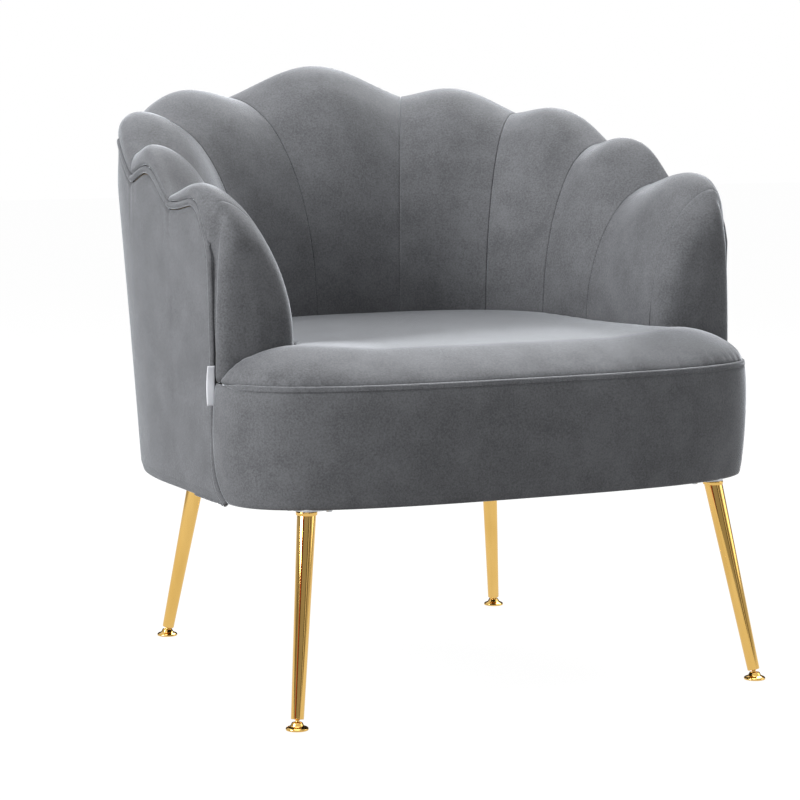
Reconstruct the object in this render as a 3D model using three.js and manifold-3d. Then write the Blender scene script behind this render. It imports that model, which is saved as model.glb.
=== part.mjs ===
// Scallop back chair: a tub chair with nine padded channels on four splayed tube legs.
// Millimetres, +Z up, the front faces -Y. The origin is on the floor under the middle.
import * as THREE from "three";
import { mergeVertices } from "three/addons/utils/BufferGeometryUtils.js";
import Module from "manifold-3d";

const wasm = await Module();
wasm.setup();

// Fits
const touchGap = 0.3;
const seamGap = 0.5;
const boardEndGap = 1.2;
const cutOverrun = 40;
const joinOverlap = 0.5;
const mergeDistance = 0.001;

// Levels above the floor
const coverBottomLevel = 263.5;
const railBottomLevel = 263.5;
const railHeight = 34;
const channelFootLevel = 330;
const seamLevel = 412;
const wellLevel = 455;

// Back in plan: the outermost roll, then each layer stepped in from it
const backHalfWidth = 378;
const backY = 353.1;
const backShoulderY = -43;
const armFrontY = -205;
const outerPower = 3.2;
const rollSideReach = 20;
const rollBackReach = 15;
const crestPower = 2.8;
const armLean = 96;
const backLean = 154;
const wellShoulderY = -183;
const wellPower = 3.4;
const sideFlare = 8;
const backFlare = 40;
const skirtPower = 2.66;
const curveSteps = 240;

// Seams, from the back's middle round to the arm front, as shares of each plan curve
const wellSeamShares = [0, 0.114, 0.338, 0.5, 0.661, 1];
const crestSeamShares = [0, 0.175, 0.39, 0.59, 0.771, 1];
const rollSeamShares = [0, 0.179, 0.413, 0.634, 0.812, 1];
const skirtSeamShares = [0, 0.188, 0.427, 0.593, 0.787, 1];

// Scalloped crest: its level in the seams and how far each channel rises between them, from
// the middle round to the arm
const chairHeight = 800;
const crestDepth = 44;
const crestSeamLevelShares = [0.945, 0.945, 0.915, 0.86625, 0.805];
const crestRiseShares = [1, 0.5, 0.58, 0.705, 0.295];
const armCornerDrop = 77;

// Scalloped piping line on the outside
const pipingDepth = 33;
const pipingSeamLevelShares = [0.89625, 0.89625, 0.86625, 0.8175, 0.7825];
const pipingRiseShares = [1, 0.575, 0.73, 0.82];

// Channels
const channelPuff = 9;
const padDepth = 46;
const padThinningShare = 0.5;
const backFacePowers = [2, 2, 2, 2, 1.9, 1.75];
const channelShares = [0, 0.08, 0.27, 0.5, 0.73, 0.92, 1];
const middleShares = [0, 0.4, 0.8, 1];
const faceSteps = 7;
const rollSteps = 4;
const armFrontRound = 26;
const armRoundSteps = 5;
const armBoardSetback = 39;
const armShares = [0, 0.08, 0.27, 0.5, 0.65];

// Wall frames, which part from each other in the second seam, as the outer covers do
const wallSplit = 2;
const panelThickness = 9;
const ledgeThickness = 18;
const ledgeTaper = 4;
const ledgeDrop = 2.5;
const ledgeShare = 0.93;

// Piping along the arm's top and down its front, as shares of its length and of its height
const pipingRadius = 4;
const pipingInset = 2;
const pipingSides = 6;
const pipingCover = 6.5;
const pipingAllowance = 5.6;
const armPipingLevel = 633;
const armPipingSetback = 23;
const armPipingTopShares = [
  [0, 0.981],
  [0.21, 0.984],
  [0.42, 0.995],
  [0.58, 1],
  [0.72, 0.984],
  [0.81, 0.957],
  [0.88, 0.914],
  [0.945, 0.873],
];
const armPipingFrontShares = [
  [0.985, 0.832],
  [1, 0.789],
  [1, 0.546],
  [0.976, 0.308],
  [1.008, 0.208],
  [1.079, 0.108],
  [1.25, 0.016],
];

// Outer cover
const coverThickness = 3;
const hemTurn = 3;
const hemRiseShare = 0.03;

// Seat
const seatSideInset = 7;
const seatFrontY = -337.5;
const seatShoulderY = -191.5;
const seatTailY = 229;
const seatPower = 3;
const seatCrown = 38;
const seatBackRise = 7;
const seatRollWidth = 84;
const seatRollPower = 1.4;
const seatRollShares = [0, 0.04, 0.11, 0.22, 0.36, 0.55, 0.78, 1];
const seatMiddleInset = 132;
const seatOutlineSteps = 64;
const seatInnerInset = 12;
const springAllowance = 22.6;
const bandThickness = 7;
const bandDrawIn = 4;
const bandBulge = 2.5;
const bandStations = 32;
const bandShares = [0, 0.1, 0.3, 0.55, 0.8, 0.95, 1];

// Base rails
const railEdgeInset = 12.5;
const frontRailDepth = 97.5;
const frontGussetWidth = 57;
const rearRailDepth = 127;
const rearGussetWidth = 135;
const sideRailWidth = 95;
const railFrontSplitY = -168;
const railRearSplitY = 127;
const railEdgeSteps = 10;

// Springs
const springWireRadius = 1.9;
const springCount = 4;
const springSpacing = 100;
const springFrontInset = 11;
const springRearShare = 0.4;
const springSwing = 22;
const springWaves = 8;
const springArch = 18;
const springSteps = 32;
const springSides = 5;

// Dust cover
const dustCoverThickness = 0.8;
const dustCoverInset = 8;

// Side tag
const tagHeight = 50;
const tagThickness = 0.8;
const tagBottomLevel = 383;

// Legs: the top's place in from the side and behind the edge in front of it, and the splay
// down to the lower end
const frontLegSideInset = 78.5;
const frontLegInset = 18.67;
const frontLegSplayX = 35.8;
const frontLegSplayY = -50;
const rearLegSideInset = 144;
const rearLegInset = 92.6;
const rearLegSplayX = 34;
const rearLegSplayY = 45.3;
const legTopRadius = 12;
const legEndRadius = 8;
const legWall = 1.5;
const collarRadius = 13.4;
const collarHeight = 5;
const collarChamfer = 1;
const legEndLevel = 12.5;
const legPlugLength = 20;
const legSides = 16;
const plateThickness = 3;
const plateBossRadius = 13.5;
const plateLugRadius = 8;
const plateReach = 42;
const plateShoulder = 15;
const plateHalfSpread = 25;
const plateArcSteps = 4;

// Leg screws
const screwShankRadius = 2.1;
const screwShankLength = 24;
const screwHeadRadius = 4.2;
const screwHeadHeight = 2.6;
const screwHeadRound = 0.8;
const screwSides = 10;
const holeSegments = 5;

// Glides
const ballLevel = 6;
const ballRadius = 4.5;
const socketRadius = 4.8;
const socketLip = 1.9;
const stemNeckRadius = 2.6;
const stemShankRadius = 4;
const stemLength = 31;
const stemChamfer = 0.6;
const padRadius = 14.2;
const padRim = 2.2;
const padEdge = 0.8;
const padDomeRadius = 12.6;
const padDomeHeight = 3.6;
const padFootRadius = 8.6;
const padFootHeight = 5.2;
const padNeckRadius = 6.4;
const padHeight = 9.2;
const padMouthRadius = 5.5;
const glideSides = 14;
const ballSteps = 5;

const lerp = THREE.MathUtils.lerp;
const quarterTurn = Math.PI / 2;

// Finishes
function finish(color, roughness, metalness) {
  return new THREE.MeshStandardMaterial({ color, roughness, metalness });
}
const velvet = finish(0x6b6c70, 0.9, 0);
const gold = finish(0xd9a441, 0.18, 1);
const steel = finish(0x8a8c8f, 0.4, 1);
const plywood = finish(0xc9a876, 0.75, 0);
const timber = finish(0xb98f5c, 0.75, 0);
const springSteel = finish(0x55585c, 0.45, 1);
const dustCloth = finish(0x1b1b1c, 0.95, 0);
const tagCloth = finish(0xeeeeee, 0.9, 0);

const chair = new THREE.Group();

function addMesh(name, geometry, material, parent = chair) {
  const mesh = new THREE.Mesh(geometry, material);
  mesh.name = name;
  parent.add(mesh);
  return mesh;
}

// Closed geometry from points and faces, with the faces turned outwards
function closedGeometry(points, faces) {
  const sixVolumes = faces.reduce((sum, [a, b, c]) => {
    return sum + points[a].dot(new THREE.Vector3().crossVectors(points[b], points[c]));
  }, 0);
  const index = faces.flatMap(([a, b, c]) => (sixVolumes < 0 ? [a, c, b] : [a, b, c]));
  const geometry = new THREE.BufferGeometry().setFromPoints(points);
  geometry.setIndex(index);
  geometry.computeVertexNormals();
  return geometry;
}

// Triangles across a closed ring, counter-clockwise about the ring's own normal
function capFaces(ring) {
  const normal = new THREE.Vector3();
  ring.forEach((p, i) => {
    const q = ring[(i + 1) % ring.length];
    normal.x += (p.y - q.y) * (p.z + q.z);
    normal.y += (p.z - q.z) * (p.x + q.x);
    normal.z += (p.x - q.x) * (p.y + q.y);
  });
  const up = new THREE.Vector3(0, 0, 1);
  const turn = new THREE.Quaternion().setFromUnitVectors(normal.normalize(), up);
  const flat = ring.map((p) => p.clone().applyQuaternion(turn));
  const outline = flat.map((p) => new THREE.Vector2(p.x, p.y));
  return THREE.ShapeUtils.triangulateShape(outline, []).map(([a, b, c]) => {
    const area = THREE.ShapeUtils.area([outline[a], outline[b], outline[c]]);
    return area < 0 ? [a, c, b] : [a, b, c];
  });
}

// Triangles across the ring of a thin skin, whose second half runs back beside its first
function skinCap(count) {
  const faces = [];
  for (let i = 0; i + 1 < count / 2; i++) {
    const across = count - 1 - i;
    faces.push([i, i + 1, across - 1], [i, across - 1, across]);
  }
  return faces;
}

// A solid skinned over closed rings of equal point counts, capped at both ends. Each patch
// is split from its lower point on one ring to its higher point on the next, so that
// pieces which lie against each other are split alike.
function loft(rings, caps = capFaces(rings[0])) {
  const count = rings[0].length;
  const points = rings.flat();
  const faces = [];
  for (let r = 0; r + 1 < rings.length; r++) {
    for (let i = 0; i < count; i++) {
      const a = r * count + i;
      const b = r * count + ((i + 1) % count);
      const [nextA, nextB] = [a + count, b + count];
      if (points[a].z <= points[b].z) faces.push([a, b, nextB], [a, nextB, nextA]);
      else faces.push([a, b, nextA], [b, nextB, nextA]);
    }
  }
  const last = (rings.length - 1) * count;
  caps.forEach(([a, b, c]) => {
    faces.push([a, c, b]);
    faces.push([last + a, last + b, last + c]);
  });
  return closedGeometry(points, faces);
}

// Joins and cuts
function solidOf(geometry) {
  const bare = new THREE.BufferGeometry();
  bare.setAttribute("position", geometry.getAttribute("position"));
  bare.setIndex(geometry.index);
  const merged = mergeVertices(bare, mergeDistance);
  const vertProperties = merged.getAttribute("position").array;
  const triVerts = new Uint32Array(merged.index.array);
  return new wasm.Manifold(new wasm.Mesh({ numProp: 3, vertProperties, triVerts }));
}

function geometryOf(solid) {
  const { vertProperties, triVerts } = solid.getMesh();
  const geometry = new THREE.BufferGeometry();
  geometry.setAttribute("position", new THREE.BufferAttribute(vertProperties, 3));
  geometry.setIndex(new THREE.BufferAttribute(triVerts, 1));
  geometry.computeVertexNormals();
  return geometry;
}

function cut(geometry, ...cutters) {
  return geometryOf(cutters.reduce((solid, c) => solid.subtract(solidOf(c)), solidOf(geometry)));
}

function boxBetween(low, high) {
  const size = new THREE.Vector3().subVectors(high, low);
  const middle = new THREE.Vector3().addVectors(low, high).multiplyScalar(0.5);
  return new THREE.BoxGeometry(size.x, size.y, size.z).translate(middle.x, middle.y, middle.z);
}

// A flat board cut to a plan outline
function board(outline, bottomLevel, thickness, holes = []) {
  const shape = new THREE.Shape(outline);
  shape.holes = holes;
  const extrusion = { depth: thickness, bevelEnabled: false, curveSegments: holeSegments };
  return new THREE.ExtrudeGeometry(shape, extrusion).translate(0, 0, bottomLevel);
}

// A route through given points, which a tube follows exactly
class Route extends THREE.Curve {
  constructor(points) {
    super();
    this.points = points;
  }
  getPoint(t, target = new THREE.Vector3()) {
    const place = t * (this.points.length - 1);
    const i = Math.min(Math.floor(place), this.points.length - 2);
    return target.lerpVectors(this.points[i], this.points[i + 1], place - i);
  }
  getPointAt(u, target) {
    return this.getPoint(u, target);
  }
  getTangentAt(u, target = new THREE.Vector3()) {
    const step = 1 / (this.points.length - 1);
    const before = this.getPoint(Math.max(0, u - step));
    return target.subVectors(this.getPoint(Math.min(1, u + step)), before).normalize();
  }
}

function tube(points, radius, sides) {
  const section = new THREE.Shape();
  for (let i = 0; i < sides; i++) {
    const angle = (4 * quarterTurn * i) / sides;
    const place = [radius * Math.cos(angle), radius * Math.sin(angle)];
    if (i === 0) section.moveTo(...place);
    else section.lineTo(...place);
  }
  const extrudePath = new Route(points);
  const steps = points.length - 1;
  return new THREE.ExtrudeGeometry(section, { steps, bevelEnabled: false, extrudePath });
}

// A round piece turned about its own Z axis
function turned(profile, sides) {
  const points = profile.map(([radius, height]) => new THREE.Vector2(radius, height));
  return new THREE.LatheGeometry(points, sides).rotateX(quarterTurn);
}

// A plan curve runs from the back's middle round to the arm front: a quarter of a
// superellipse, then a straight stretch forwards.
function planCurve(halfWidth, shoulderY, middleY, power) {
  const points = [];
  for (let i = 0; i <= curveSteps; i++) {
    const share = i / curveSteps;
    const angle = quarterTurn * share * share * (3 - 2 * share);
    const x = halfWidth * Math.sin(angle) ** (2 / power);
    const y = lerp(shoulderY, middleY, Math.max(0, Math.cos(angle)) ** (2 / power));
    points.push(new THREE.Vector2(x, y));
  }
  points.push(new THREE.Vector2(halfWidth, armFrontY));
  const runs = [0];
  for (let i = 1; i < points.length; i++) {
    runs.push(runs[i - 1] + points[i].distanceTo(points[i - 1]));
  }
  const length = runs.at(-1);
  // The place at a share of the curve, slipped along it, and the direction out of the chair
  const at = (share, slip = 0) => {
    const run = share * length + slip;
    let i = 1;
    while (i < runs.length - 1 && runs[i] < run) i++;
    const along = new THREE.Vector2().subVectors(points[i], points[i - 1]).normalize();
    const place = points[i - 1].clone().addScaledVector(along, run - runs[i - 1]);
    return { place, out: new THREE.Vector2(-along.y, along.x) };
  };
  return { at, points };
}

const crestHalfWidth = backHalfWidth - rollSideReach;
const crestY = backY - rollBackReach;
const wellHalfWidth = crestHalfWidth - armLean;
const wellY = crestY - backLean;
const skirtHalfWidth = backHalfWidth - sideFlare;
const skirtY = backY - backFlare;
const rollCurve = planCurve(backHalfWidth, backShoulderY, backY, outerPower);
const crestCurve = planCurve(crestHalfWidth, backShoulderY, crestY, crestPower);
const wellCurve = planCurve(wellHalfWidth, wellShoulderY, wellY, wellPower);
const skirtCurve = planCurve(skirtHalfWidth, backShoulderY, skirtY, skirtPower);

// Cell 0 runs from the middle to the first seam, cells 1 to 3 between seams, cell 4 is the arm.
const armCell = 4;

// The stations across a cell at which every layer of the wall has its corners
function stationShares(cell) {
  return cell === 0 ? middleShares : channelShares;
}

// The scallop's rise across a channel, 1 in its middle and 0 in its seams
function lobe(cell, share) {
  const across = cell === 0 ? share : 2 * share - 1;
  return (0.5 + 0.5 * Math.cos(Math.PI * across) + 1 - across ** 2) / 2;
}

function crestLevel(cell, share) {
  const across = 2 * share - 1;
  const rise = crestDepth * crestRiseShares[cell];
  const seam = chairHeight * crestSeamLevelShares[cell];
  if (cell < armCell) {
    const line = lerp(seam, chairHeight * crestSeamLevelShares[cell + 1], share);
    return line + rise * lobe(cell, share);
  }
  if (across < 0) return seam + rise * lobe(cell, share);
  return seam + rise - armCornerDrop * (1 - Math.sqrt(Math.max(0, 1 - across ** 2)));
}

// The arm's piping line in side view, from the last seam forward and down to the hem
const armSeamY = rollCurve.at(rollSeamShares[armCell]).place.y;
const armPipingY = armFrontY + armPipingSetback;
const armPipingLine = [...armPipingTopShares, ...armPipingFrontShares].map(([along, up]) => {
  const y = lerp(armSeamY, armPipingY, along);
  return new THREE.Vector2(y, lerp(coverBottomLevel, armPipingLevel, up));
});

// The line runs forwards as far as this point, from which it goes down
const armPipingTurn = armPipingLine.findIndex((p, i) => i > 0 && p.x >= armPipingLine[i - 1].x);

function armPipingLevelAt(y) {
  const line = armPipingLine.slice(0, armPipingTurn);
  for (let i = 1; i < line.length; i++) {
    const [from, to] = [line[i - 1], line[i]];
    if (y >= to.x && to.x < from.x) {
      return lerp(from.y, to.y, Math.max(0, (y - from.x) / (to.x - from.x)));
    }
  }
  return line.at(-1).y;
}

function pipingLevel(cell, share) {
  if (cell === armCell) {
    return armPipingLevelAt(rollCurve.at(lerp(rollSeamShares[cell], 1, share)).place.y);
  }
  const line = lerp(pipingSeamLevelShares[cell], pipingSeamLevelShares[cell + 1], share);
  return chairHeight * line + pipingDepth * pipingRiseShares[cell] * lobe(cell, share);
}

// The piping line moved sideways by a distance, forwards and up where it is positive
function besidePiping(distance) {
  return armPipingLine.map((p, i) => {
    const from = armPipingLine[Math.max(0, i - 1)];
    const to = armPipingLine[Math.min(armPipingLine.length - 1, i + 1)];
    const along = new THREE.Vector2().subVectors(to, from).normalize();
    return new THREE.Vector2(p.x + along.y * distance, p.y - along.x * distance);
  });
}

// One upright section of the wall: its plan places and levels
function wallStation(cell, share, slip = 0) {
  const spot = (curve, shares) => curve.at(lerp(shares[cell], shares[cell + 1], share), slip);
  const well = spot(wellCurve, wellSeamShares).place;
  const crest = spot(crestCurve, crestSeamShares).place;
  const { place: roll, out: rollOut } = spot(rollCurve, rollSeamShares);
  const setback = Math.max(0, crest.y - armFrontY);
  if (cell === armCell && setback < armFrontRound) {
    const shift = armFrontRound - Math.sqrt(armFrontRound ** 2 - (armFrontRound - setback) ** 2);
    well.x += shift;
    crest.x -= shift / 2;
    roll.x -= shift;
  }
  return {
    well,
    crest,
    roll,
    rollOut,
    top: crestLevel(cell, share),
    rollFoot: pipingLevel(cell, share) + pipingAllowance,
    puff: channelPuff * lobe(cell, share),
    power: lerp(backFacePowers[cell], backFacePowers[cell + 1], share),
  };
}

// A point of the wall behind its inner face, at an angle up from the well to the crest
function wallPoint(station, depth, angle, puff = 0) {
  const { well, crest, top, power } = station;
  const reach = well.distanceTo(crest);
  const out = (reach - (reach - depth) * Math.cos(angle) ** (2 / power)) / reach;
  const rise = top - wellLevel - depth * padThinningShare;
  const swell = puff * Math.sin(2 * angle) ** (1 / 2);
  const place = well.clone().lerp(crest, out - (swell * Math.cos(angle)) / reach);
  const level = wellLevel + rise * Math.sin(angle) ** (2 / power) + swell * Math.sin(angle);
  return new THREE.Vector3(place.x, place.y, level);
}

function wallFoot(station, depth, level) {
  const foot = wallPoint(station, depth, 0);
  return new THREE.Vector3(foot.x, foot.y, level);
}

// The inner face and the roll of a section, from the foot over the crest to the piping
function faceAndRoll(station, footLevel) {
  const points = [wallFoot(station, 0, footLevel)];
  for (let i = 0; i < faceSteps; i++) {
    points.push(wallPoint(station, 0, (quarterTurn * i) / faceSteps, station.puff));
  }
  for (let i = 0; i <= rollSteps; i++) {
    const angle = (quarterTurn * i) / rollSteps;
    const place = station.crest.clone().lerp(station.roll, Math.sin(angle));
    const level = lerp(station.rollFoot, station.top, Math.cos(angle));
    points.push(new THREE.Vector3(place.x, place.y, level));
  }
  return points;
}

const ledgeAngle = Math.asin(ledgeShare);

// A point stepped in from the roll's edge, over the piping
function overPiping({ roll, rollOut, rollFoot }, drop = 0) {
  const place = roll.clone().addScaledVector(rollOut, -pipingCover);
  return new THREE.Vector3(place.x, place.y, rollFoot - drop);
}

// A channel's section: its face and roll, then its underside and its back against the frame
function channelRing(cell, share, slip = 0) {
  const station = wallStation(cell, share, slip);
  const points = [...faceAndRoll(station, channelFootLevel), overPiping(station)];
  for (let i = faceSteps; i >= 0; i--) {
    points.push(wallPoint(station, padDepth - touchGap, (ledgeAngle * i) / faceSteps));
  }
  points[points.length - faceSteps - 1].z += touchGap;
  points.push(wallFoot(station, padDepth - touchGap, channelFootLevel));
  return points;
}

function mirrored(ring) {
  return ring.map((p) => new THREE.Vector3(-p.x, p.y, p.z));
}

// Mirroring a list of rings also turns their order round, so that a solid stays the right way out
function onSide(side, rings) {
  return side < 0 ? rings.map(mirrored) : rings;
}

const channelCap = capFaces(channelRing(1, 0));

function seamSlip(share) {
  if (share === 0) return seamGap / 2;
  return share === 1 ? -seamGap / 2 : 0;
}

function sideChannel(cell, side) {
  const rings = channelShares.map((share) => channelRing(cell, share, seamSlip(share)));
  return loft(onSide(side, rings), channelCap);
}

function middleRing(share) {
  return channelRing(0, share, share === 1 ? -seamGap / 2 : 0);
}

function middleChannel() {
  const right = middleShares.map(middleRing);
  const left = right.slice(1).map(mirrored).reverse();
  return loft([...left, ...right], channelCap);
}

// The arm's share at a distance behind the arm front
const armSeamCrestY = crestCurve.at(crestSeamShares[armCell]).place.y;

function armShareBehindFront(distance) {
  return 1 - distance / (armSeamCrestY - armFrontY);
}

const armFootLevel = seamLevel + touchGap;
const armBoardShare = armShareBehindFront(armBoardSetback);

// The front of the arm is padded through its whole thickness
function armFrontRing(share) {
  const station = wallStation(armCell, share);
  const points = faceAndRoll(station, armFootLevel);
  points.push(new THREE.Vector3(station.roll.x, station.roll.y, armFootLevel));
  return points;
}

// Everything behind the piping in side view, from the seat's outside edge outwards
function behindPiping(innerX) {
  const edge = besidePiping(pipingRadius + touchGap);
  const rearY = armSeamY + pipingRadius;
  const below = coverBottomLevel - cutOverrun;
  const outline = [...edge, new THREE.Vector2(edge.at(-1).x, below), new THREE.Vector2(rearY, below)];
  const shape = new THREE.Shape(outline);
  const depth = backHalfWidth + cutOverrun - innerX;
  const slab = new THREE.ExtrudeGeometry(shape, { depth, bevelEnabled: false });
  return slab.rotateX(quarterTurn).rotateZ(quarterTurn).translate(innerX, 0, 0);
}

function armChannel(side) {
  const rearShares = [...armShares, armShareBehindFront(armBoardSetback - joinOverlap)];
  const rear = loft(rearShares.map((s) => channelRing(armCell, s, seamSlip(s))), channelCap);
  const frontShares = [armBoardShare, armShareBehindFront((armBoardSetback + armFrontRound) / 2)];
  for (let i = 0; i <= armRoundSteps; i++) {
    const angle = (quarterTurn * i) / armRoundSteps;
    frontShares.push(armShareBehindFront(armFrontRound * (1 - Math.sin(angle))));
  }
  const sideX = armSidePoint(armPipingY, seamLevel).point.x;
  const pipingInnerX = sideX - pipingInset - pipingRadius - touchGap;
  const front = loft(frontShares.map(armFrontRing));
  const seatCorner = boxBetween(
    new THREE.Vector3(0, armFrontY - cutOverrun, 0),
    new THREE.Vector3(backHalfWidth + cutOverrun, railFrontSplitY, armFootLevel),
  );
  const whole = geometryOf(solidOf(rear).add(solidOf(front)));
  const arm = cut(whole, behindPiping(pipingInnerX), seatCorner);
  return side < 0 ? cut(mirrorGeometry(arm), sideTag(touchGap)) : arm;
}

function mirrorGeometry(geometry) {
  const points = [];
  const position = geometry.getAttribute("position");
  for (let i = 0; i < position.count; i++) {
    points.push(new THREE.Vector3(-position.getX(i), position.getY(i), position.getZ(i)));
  }
  const index = geometry.index.array;
  const faces = [];
  for (let i = 0; i < index.length; i += 3) faces.push([index[i], index[i + 1], index[i + 2]]);
  return closedGeometry(points, faces);
}

function addChannels() {
  const middleNumber = armCell + 1;
  addMesh(`back_channel_${middleNumber}`, middleChannel(), velvet);
  for (const side of [-1, 1]) {
    for (let cell = 1; cell < armCell; cell++) {
      addMesh(`back_channel_${middleNumber + side * cell}`, sideChannel(cell, side), velvet);
    }
    addMesh(`back_channel_${middleNumber + side * armCell}`, armChannel(side), velvet);
  }
}

// Wall frames: bent boards behind the channels, each with a ledge that carries the roll
function frameRing(cell, share, slip = 0) {
  const station = wallStation(cell, share, slip);
  const outerDepth = padDepth + panelThickness;
  const footLevel = railBottomLevel + railHeight + touchGap;
  const points = [wallFoot(station, padDepth, footLevel)];
  for (let i = 0; i <= faceSteps; i++) {
    points.push(wallPoint(station, padDepth, (ledgeAngle * i) / faceSteps));
  }
  const top = points.at(-1);
  top.z -= ledgeDrop;
  const edge = overPiping(station, ledgeDrop);
  const under = edge.clone().lerp(top, ledgeTaper / edge.distanceTo(top));
  points.push(edge, under.setZ(under.z - ledgeThickness));
  for (let i = faceSteps - 1; i >= 0; i--) {
    points.push(wallPoint(station, outerDepth, (ledgeAngle * i) / faceSteps));
  }
  const ledgeRoot = points[points.length - faceSteps];
  ledgeRoot.z = Math.min(ledgeRoot.z, top.z - ledgeThickness);
  points.push(wallFoot(station, outerDepth, footLevel));
  return points;
}

function sideWallFrame(side) {
  const rings = [frameRing(wallSplit, 0, touchGap / 2)];
  for (let cell = wallSplit; cell < armCell; cell++) {
    channelShares.slice(1).forEach((share) => rings.push(frameRing(cell, share)));
  }
  const armEnd = armShareBehindFront(armBoardSetback + boardEndGap);
  [...armShares.slice(1), armEnd].forEach((share) => rings.push(frameRing(armCell, share)));
  return loft(onSide(side, rings));
}

function rearWallFrame() {
  const right = middleShares.map((share) => frameRing(0, share));
  for (let cell = 1; cell < wallSplit; cell++) {
    channelShares.slice(1).forEach((share) => {
      const slip = cell === wallSplit - 1 && share === 1 ? -touchGap / 2 : 0;
      right.push(frameRing(cell, share, slip));
    });
  }
  return loft([...right.slice(1).map(mirrored).reverse(), ...right]);
}

// Outer cover: a thin skin from the hem up to the piping. The arm piping's corner is the
// last point of its top.
const armPipingCorner = armPipingTopShares.length - 1;
const coverRowShares = armPipingLine.slice(armPipingCorner).reverse().map((p) => {
  const corner = armPipingLine[armPipingCorner].y;
  return Math.max(0, (p.y - coverBottomLevel) / (corner - coverBottomLevel));
});
coverRowShares[0] = 0;

function hem(share) {
  return hemTurn * Math.max(0, 1 - share / hemRiseShare);
}

// A column of the cover's outer face between the hem and the piping
function coverColumn(cell, share, slip = 0) {
  const skirtShare = lerp(skirtSeamShares[cell], skirtSeamShares[cell + 1], share);
  const rollShare = lerp(rollSeamShares[cell], rollSeamShares[cell + 1], share);
  const low = skirtCurve.at(skirtShare, slip);
  const high = rollCurve.at(rollShare, slip);
  const top = pipingLevel(cell, share) - pipingAllowance;
  return coverRowShares.map((up) => {
    const place = low.place.clone().lerp(high.place, up);
    const out = low.out.clone().lerp(high.out, up).normalize();
    place.addScaledVector(out, -hem(up));
    return { point: new THREE.Vector3(place.x, place.y, lerp(coverBottomLevel, top, up)), out };
  });
}

// The arm's outside at a place of the side view
function armSidePoint(y, level) {
  const up = (level - coverBottomLevel) / (armPipingLevel - coverBottomLevel);
  const x = lerp(skirtHalfWidth, backHalfWidth, Math.min(1, up)) - hem(up);
  return { point: new THREE.Vector3(x, y, level), out: new THREE.Vector2(1, 0) };
}

// The arm's part of the cover fills the four-sided patch behind the piping line
function armCoverColumns() {
  const edge = besidePiping(-pipingRadius - touchGap);
  edge.at(-1).y = coverBottomLevel;
  const topEdge = edge.slice(0, armPipingTopShares.length);
  const frontEdge = edge.slice(armPipingCorner).reverse();
  const rearColumn = coverColumn(armCell, 0).map(({ point }) => new THREE.Vector2(point.y, point.z));
  const [lowRear, highRear] = [rearColumn[0], rearColumn.at(-1)];
  const [lowFront, highFront] = [frontEdge[0], frontEdge.at(-1)];
  return topEdge.slice(1).map((top, k) => {
    const along = (k + 1) / (topEdge.length - 1);
    const low = lowRear.clone().lerp(lowFront, along);
    return coverRowShares.map((up, j) => {
      const across = low.clone().lerp(top, up);
      const upright = rearColumn[j].clone().lerp(frontEdge[j], along);
      const rearMix = lowRear.clone().lerp(highRear, up);
      const corners = rearMix.lerp(lowFront.clone().lerp(highFront, up), along);
      const spot = across.add(upright).sub(corners);
      return armSidePoint(spot.x, spot.y);
    });
  });
}

// A closed ring round the thickness of the cover at one column
function coverRing(column) {
  const outer = column.map(({ point }) => point);
  const inner = column.map(({ point, out }) => {
    const shift = new THREE.Vector3(out.x, out.y, 0).multiplyScalar(-coverThickness);
    return point.clone().add(shift);
  });
  return [...outer, ...inner.reverse()];
}

function sideCover(side) {
  const columns = [coverColumn(wallSplit, 0, touchGap / 2)];
  for (let cell = wallSplit; cell < armCell; cell++) {
    stationShares(cell).slice(1).forEach((share) => columns.push(coverColumn(cell, share)));
  }
  columns.push(...armCoverColumns());
  return loft(onSide(side, columns.map(coverRing)), skinCap(2 * coverRowShares.length));
}

function rearCover() {
  const right = [coverRing(coverColumn(0, 0))];
  for (let cell = 0; cell < wallSplit; cell++) {
    stationShares(cell).slice(1).forEach((share) => {
      const slip = cell === wallSplit - 1 && share === 1 ? -touchGap / 2 : 0;
      right.push(coverRing(coverColumn(cell, share, slip)));
    });
  }
  const left = right.slice(1).map(mirrored).reverse();
  return loft([...left, ...right], skinCap(2 * coverRowShares.length));
}

// Piping: one cord from hem to hem over both arms and the back
function pipingPoints() {
  const points = [];
  for (let cell = 0; cell < armCell; cell++) {
    stationShares(cell).slice(cell === 0 ? 0 : 1).forEach((share) => {
      const { place, out } = rollCurve.at(lerp(rollSeamShares[cell], rollSeamShares[cell + 1], share));
      place.addScaledVector(out, -pipingInset);
      points.push(new THREE.Vector3(place.x, place.y, pipingLevel(cell, share)));
    });
  }
  armPipingLine.slice(1).forEach((spot) => {
    const { point } = armSidePoint(spot.x, spot.y);
    points.push(point.setX(point.x - pipingInset));
  });
  return [...points.slice(1).map((p) => new THREE.Vector3(-p.x, p.y, p.z)).reverse(), ...points];
}

// Seat
const seatHalfWidth = backHalfWidth - seatSideInset;

// The seat's outline inside an inset, as a share of a whole turn from its right-hand end
function seatOutline(inset, turnShare) {
  const angle = 4 * quarterTurn * turnShare;
  const [cos, sin] = [Math.cos(angle), Math.sin(angle)];
  const reach = sin < 0 ? seatShoulderY - seatFrontY : seatTailY - seatShoulderY;
  const x = (seatHalfWidth - inset) * Math.sign(cos) * Math.abs(cos) ** (2 / seatPower);
  const y = seatShoulderY + (reach - inset) * Math.sign(sin) * Math.abs(sin) ** (2 / seatPower);
  return new THREE.Vector2(x, y);
}

function seatRing(inset, levelAt) {
  const ring = [];
  for (let i = 0; i < seatOutlineSteps; i++) {
    const spot = seatOutline(inset, i / seatOutlineSteps);
    ring.push(new THREE.Vector3(spot.x, spot.y, levelAt(spot)));
  }
  return ring;
}

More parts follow.
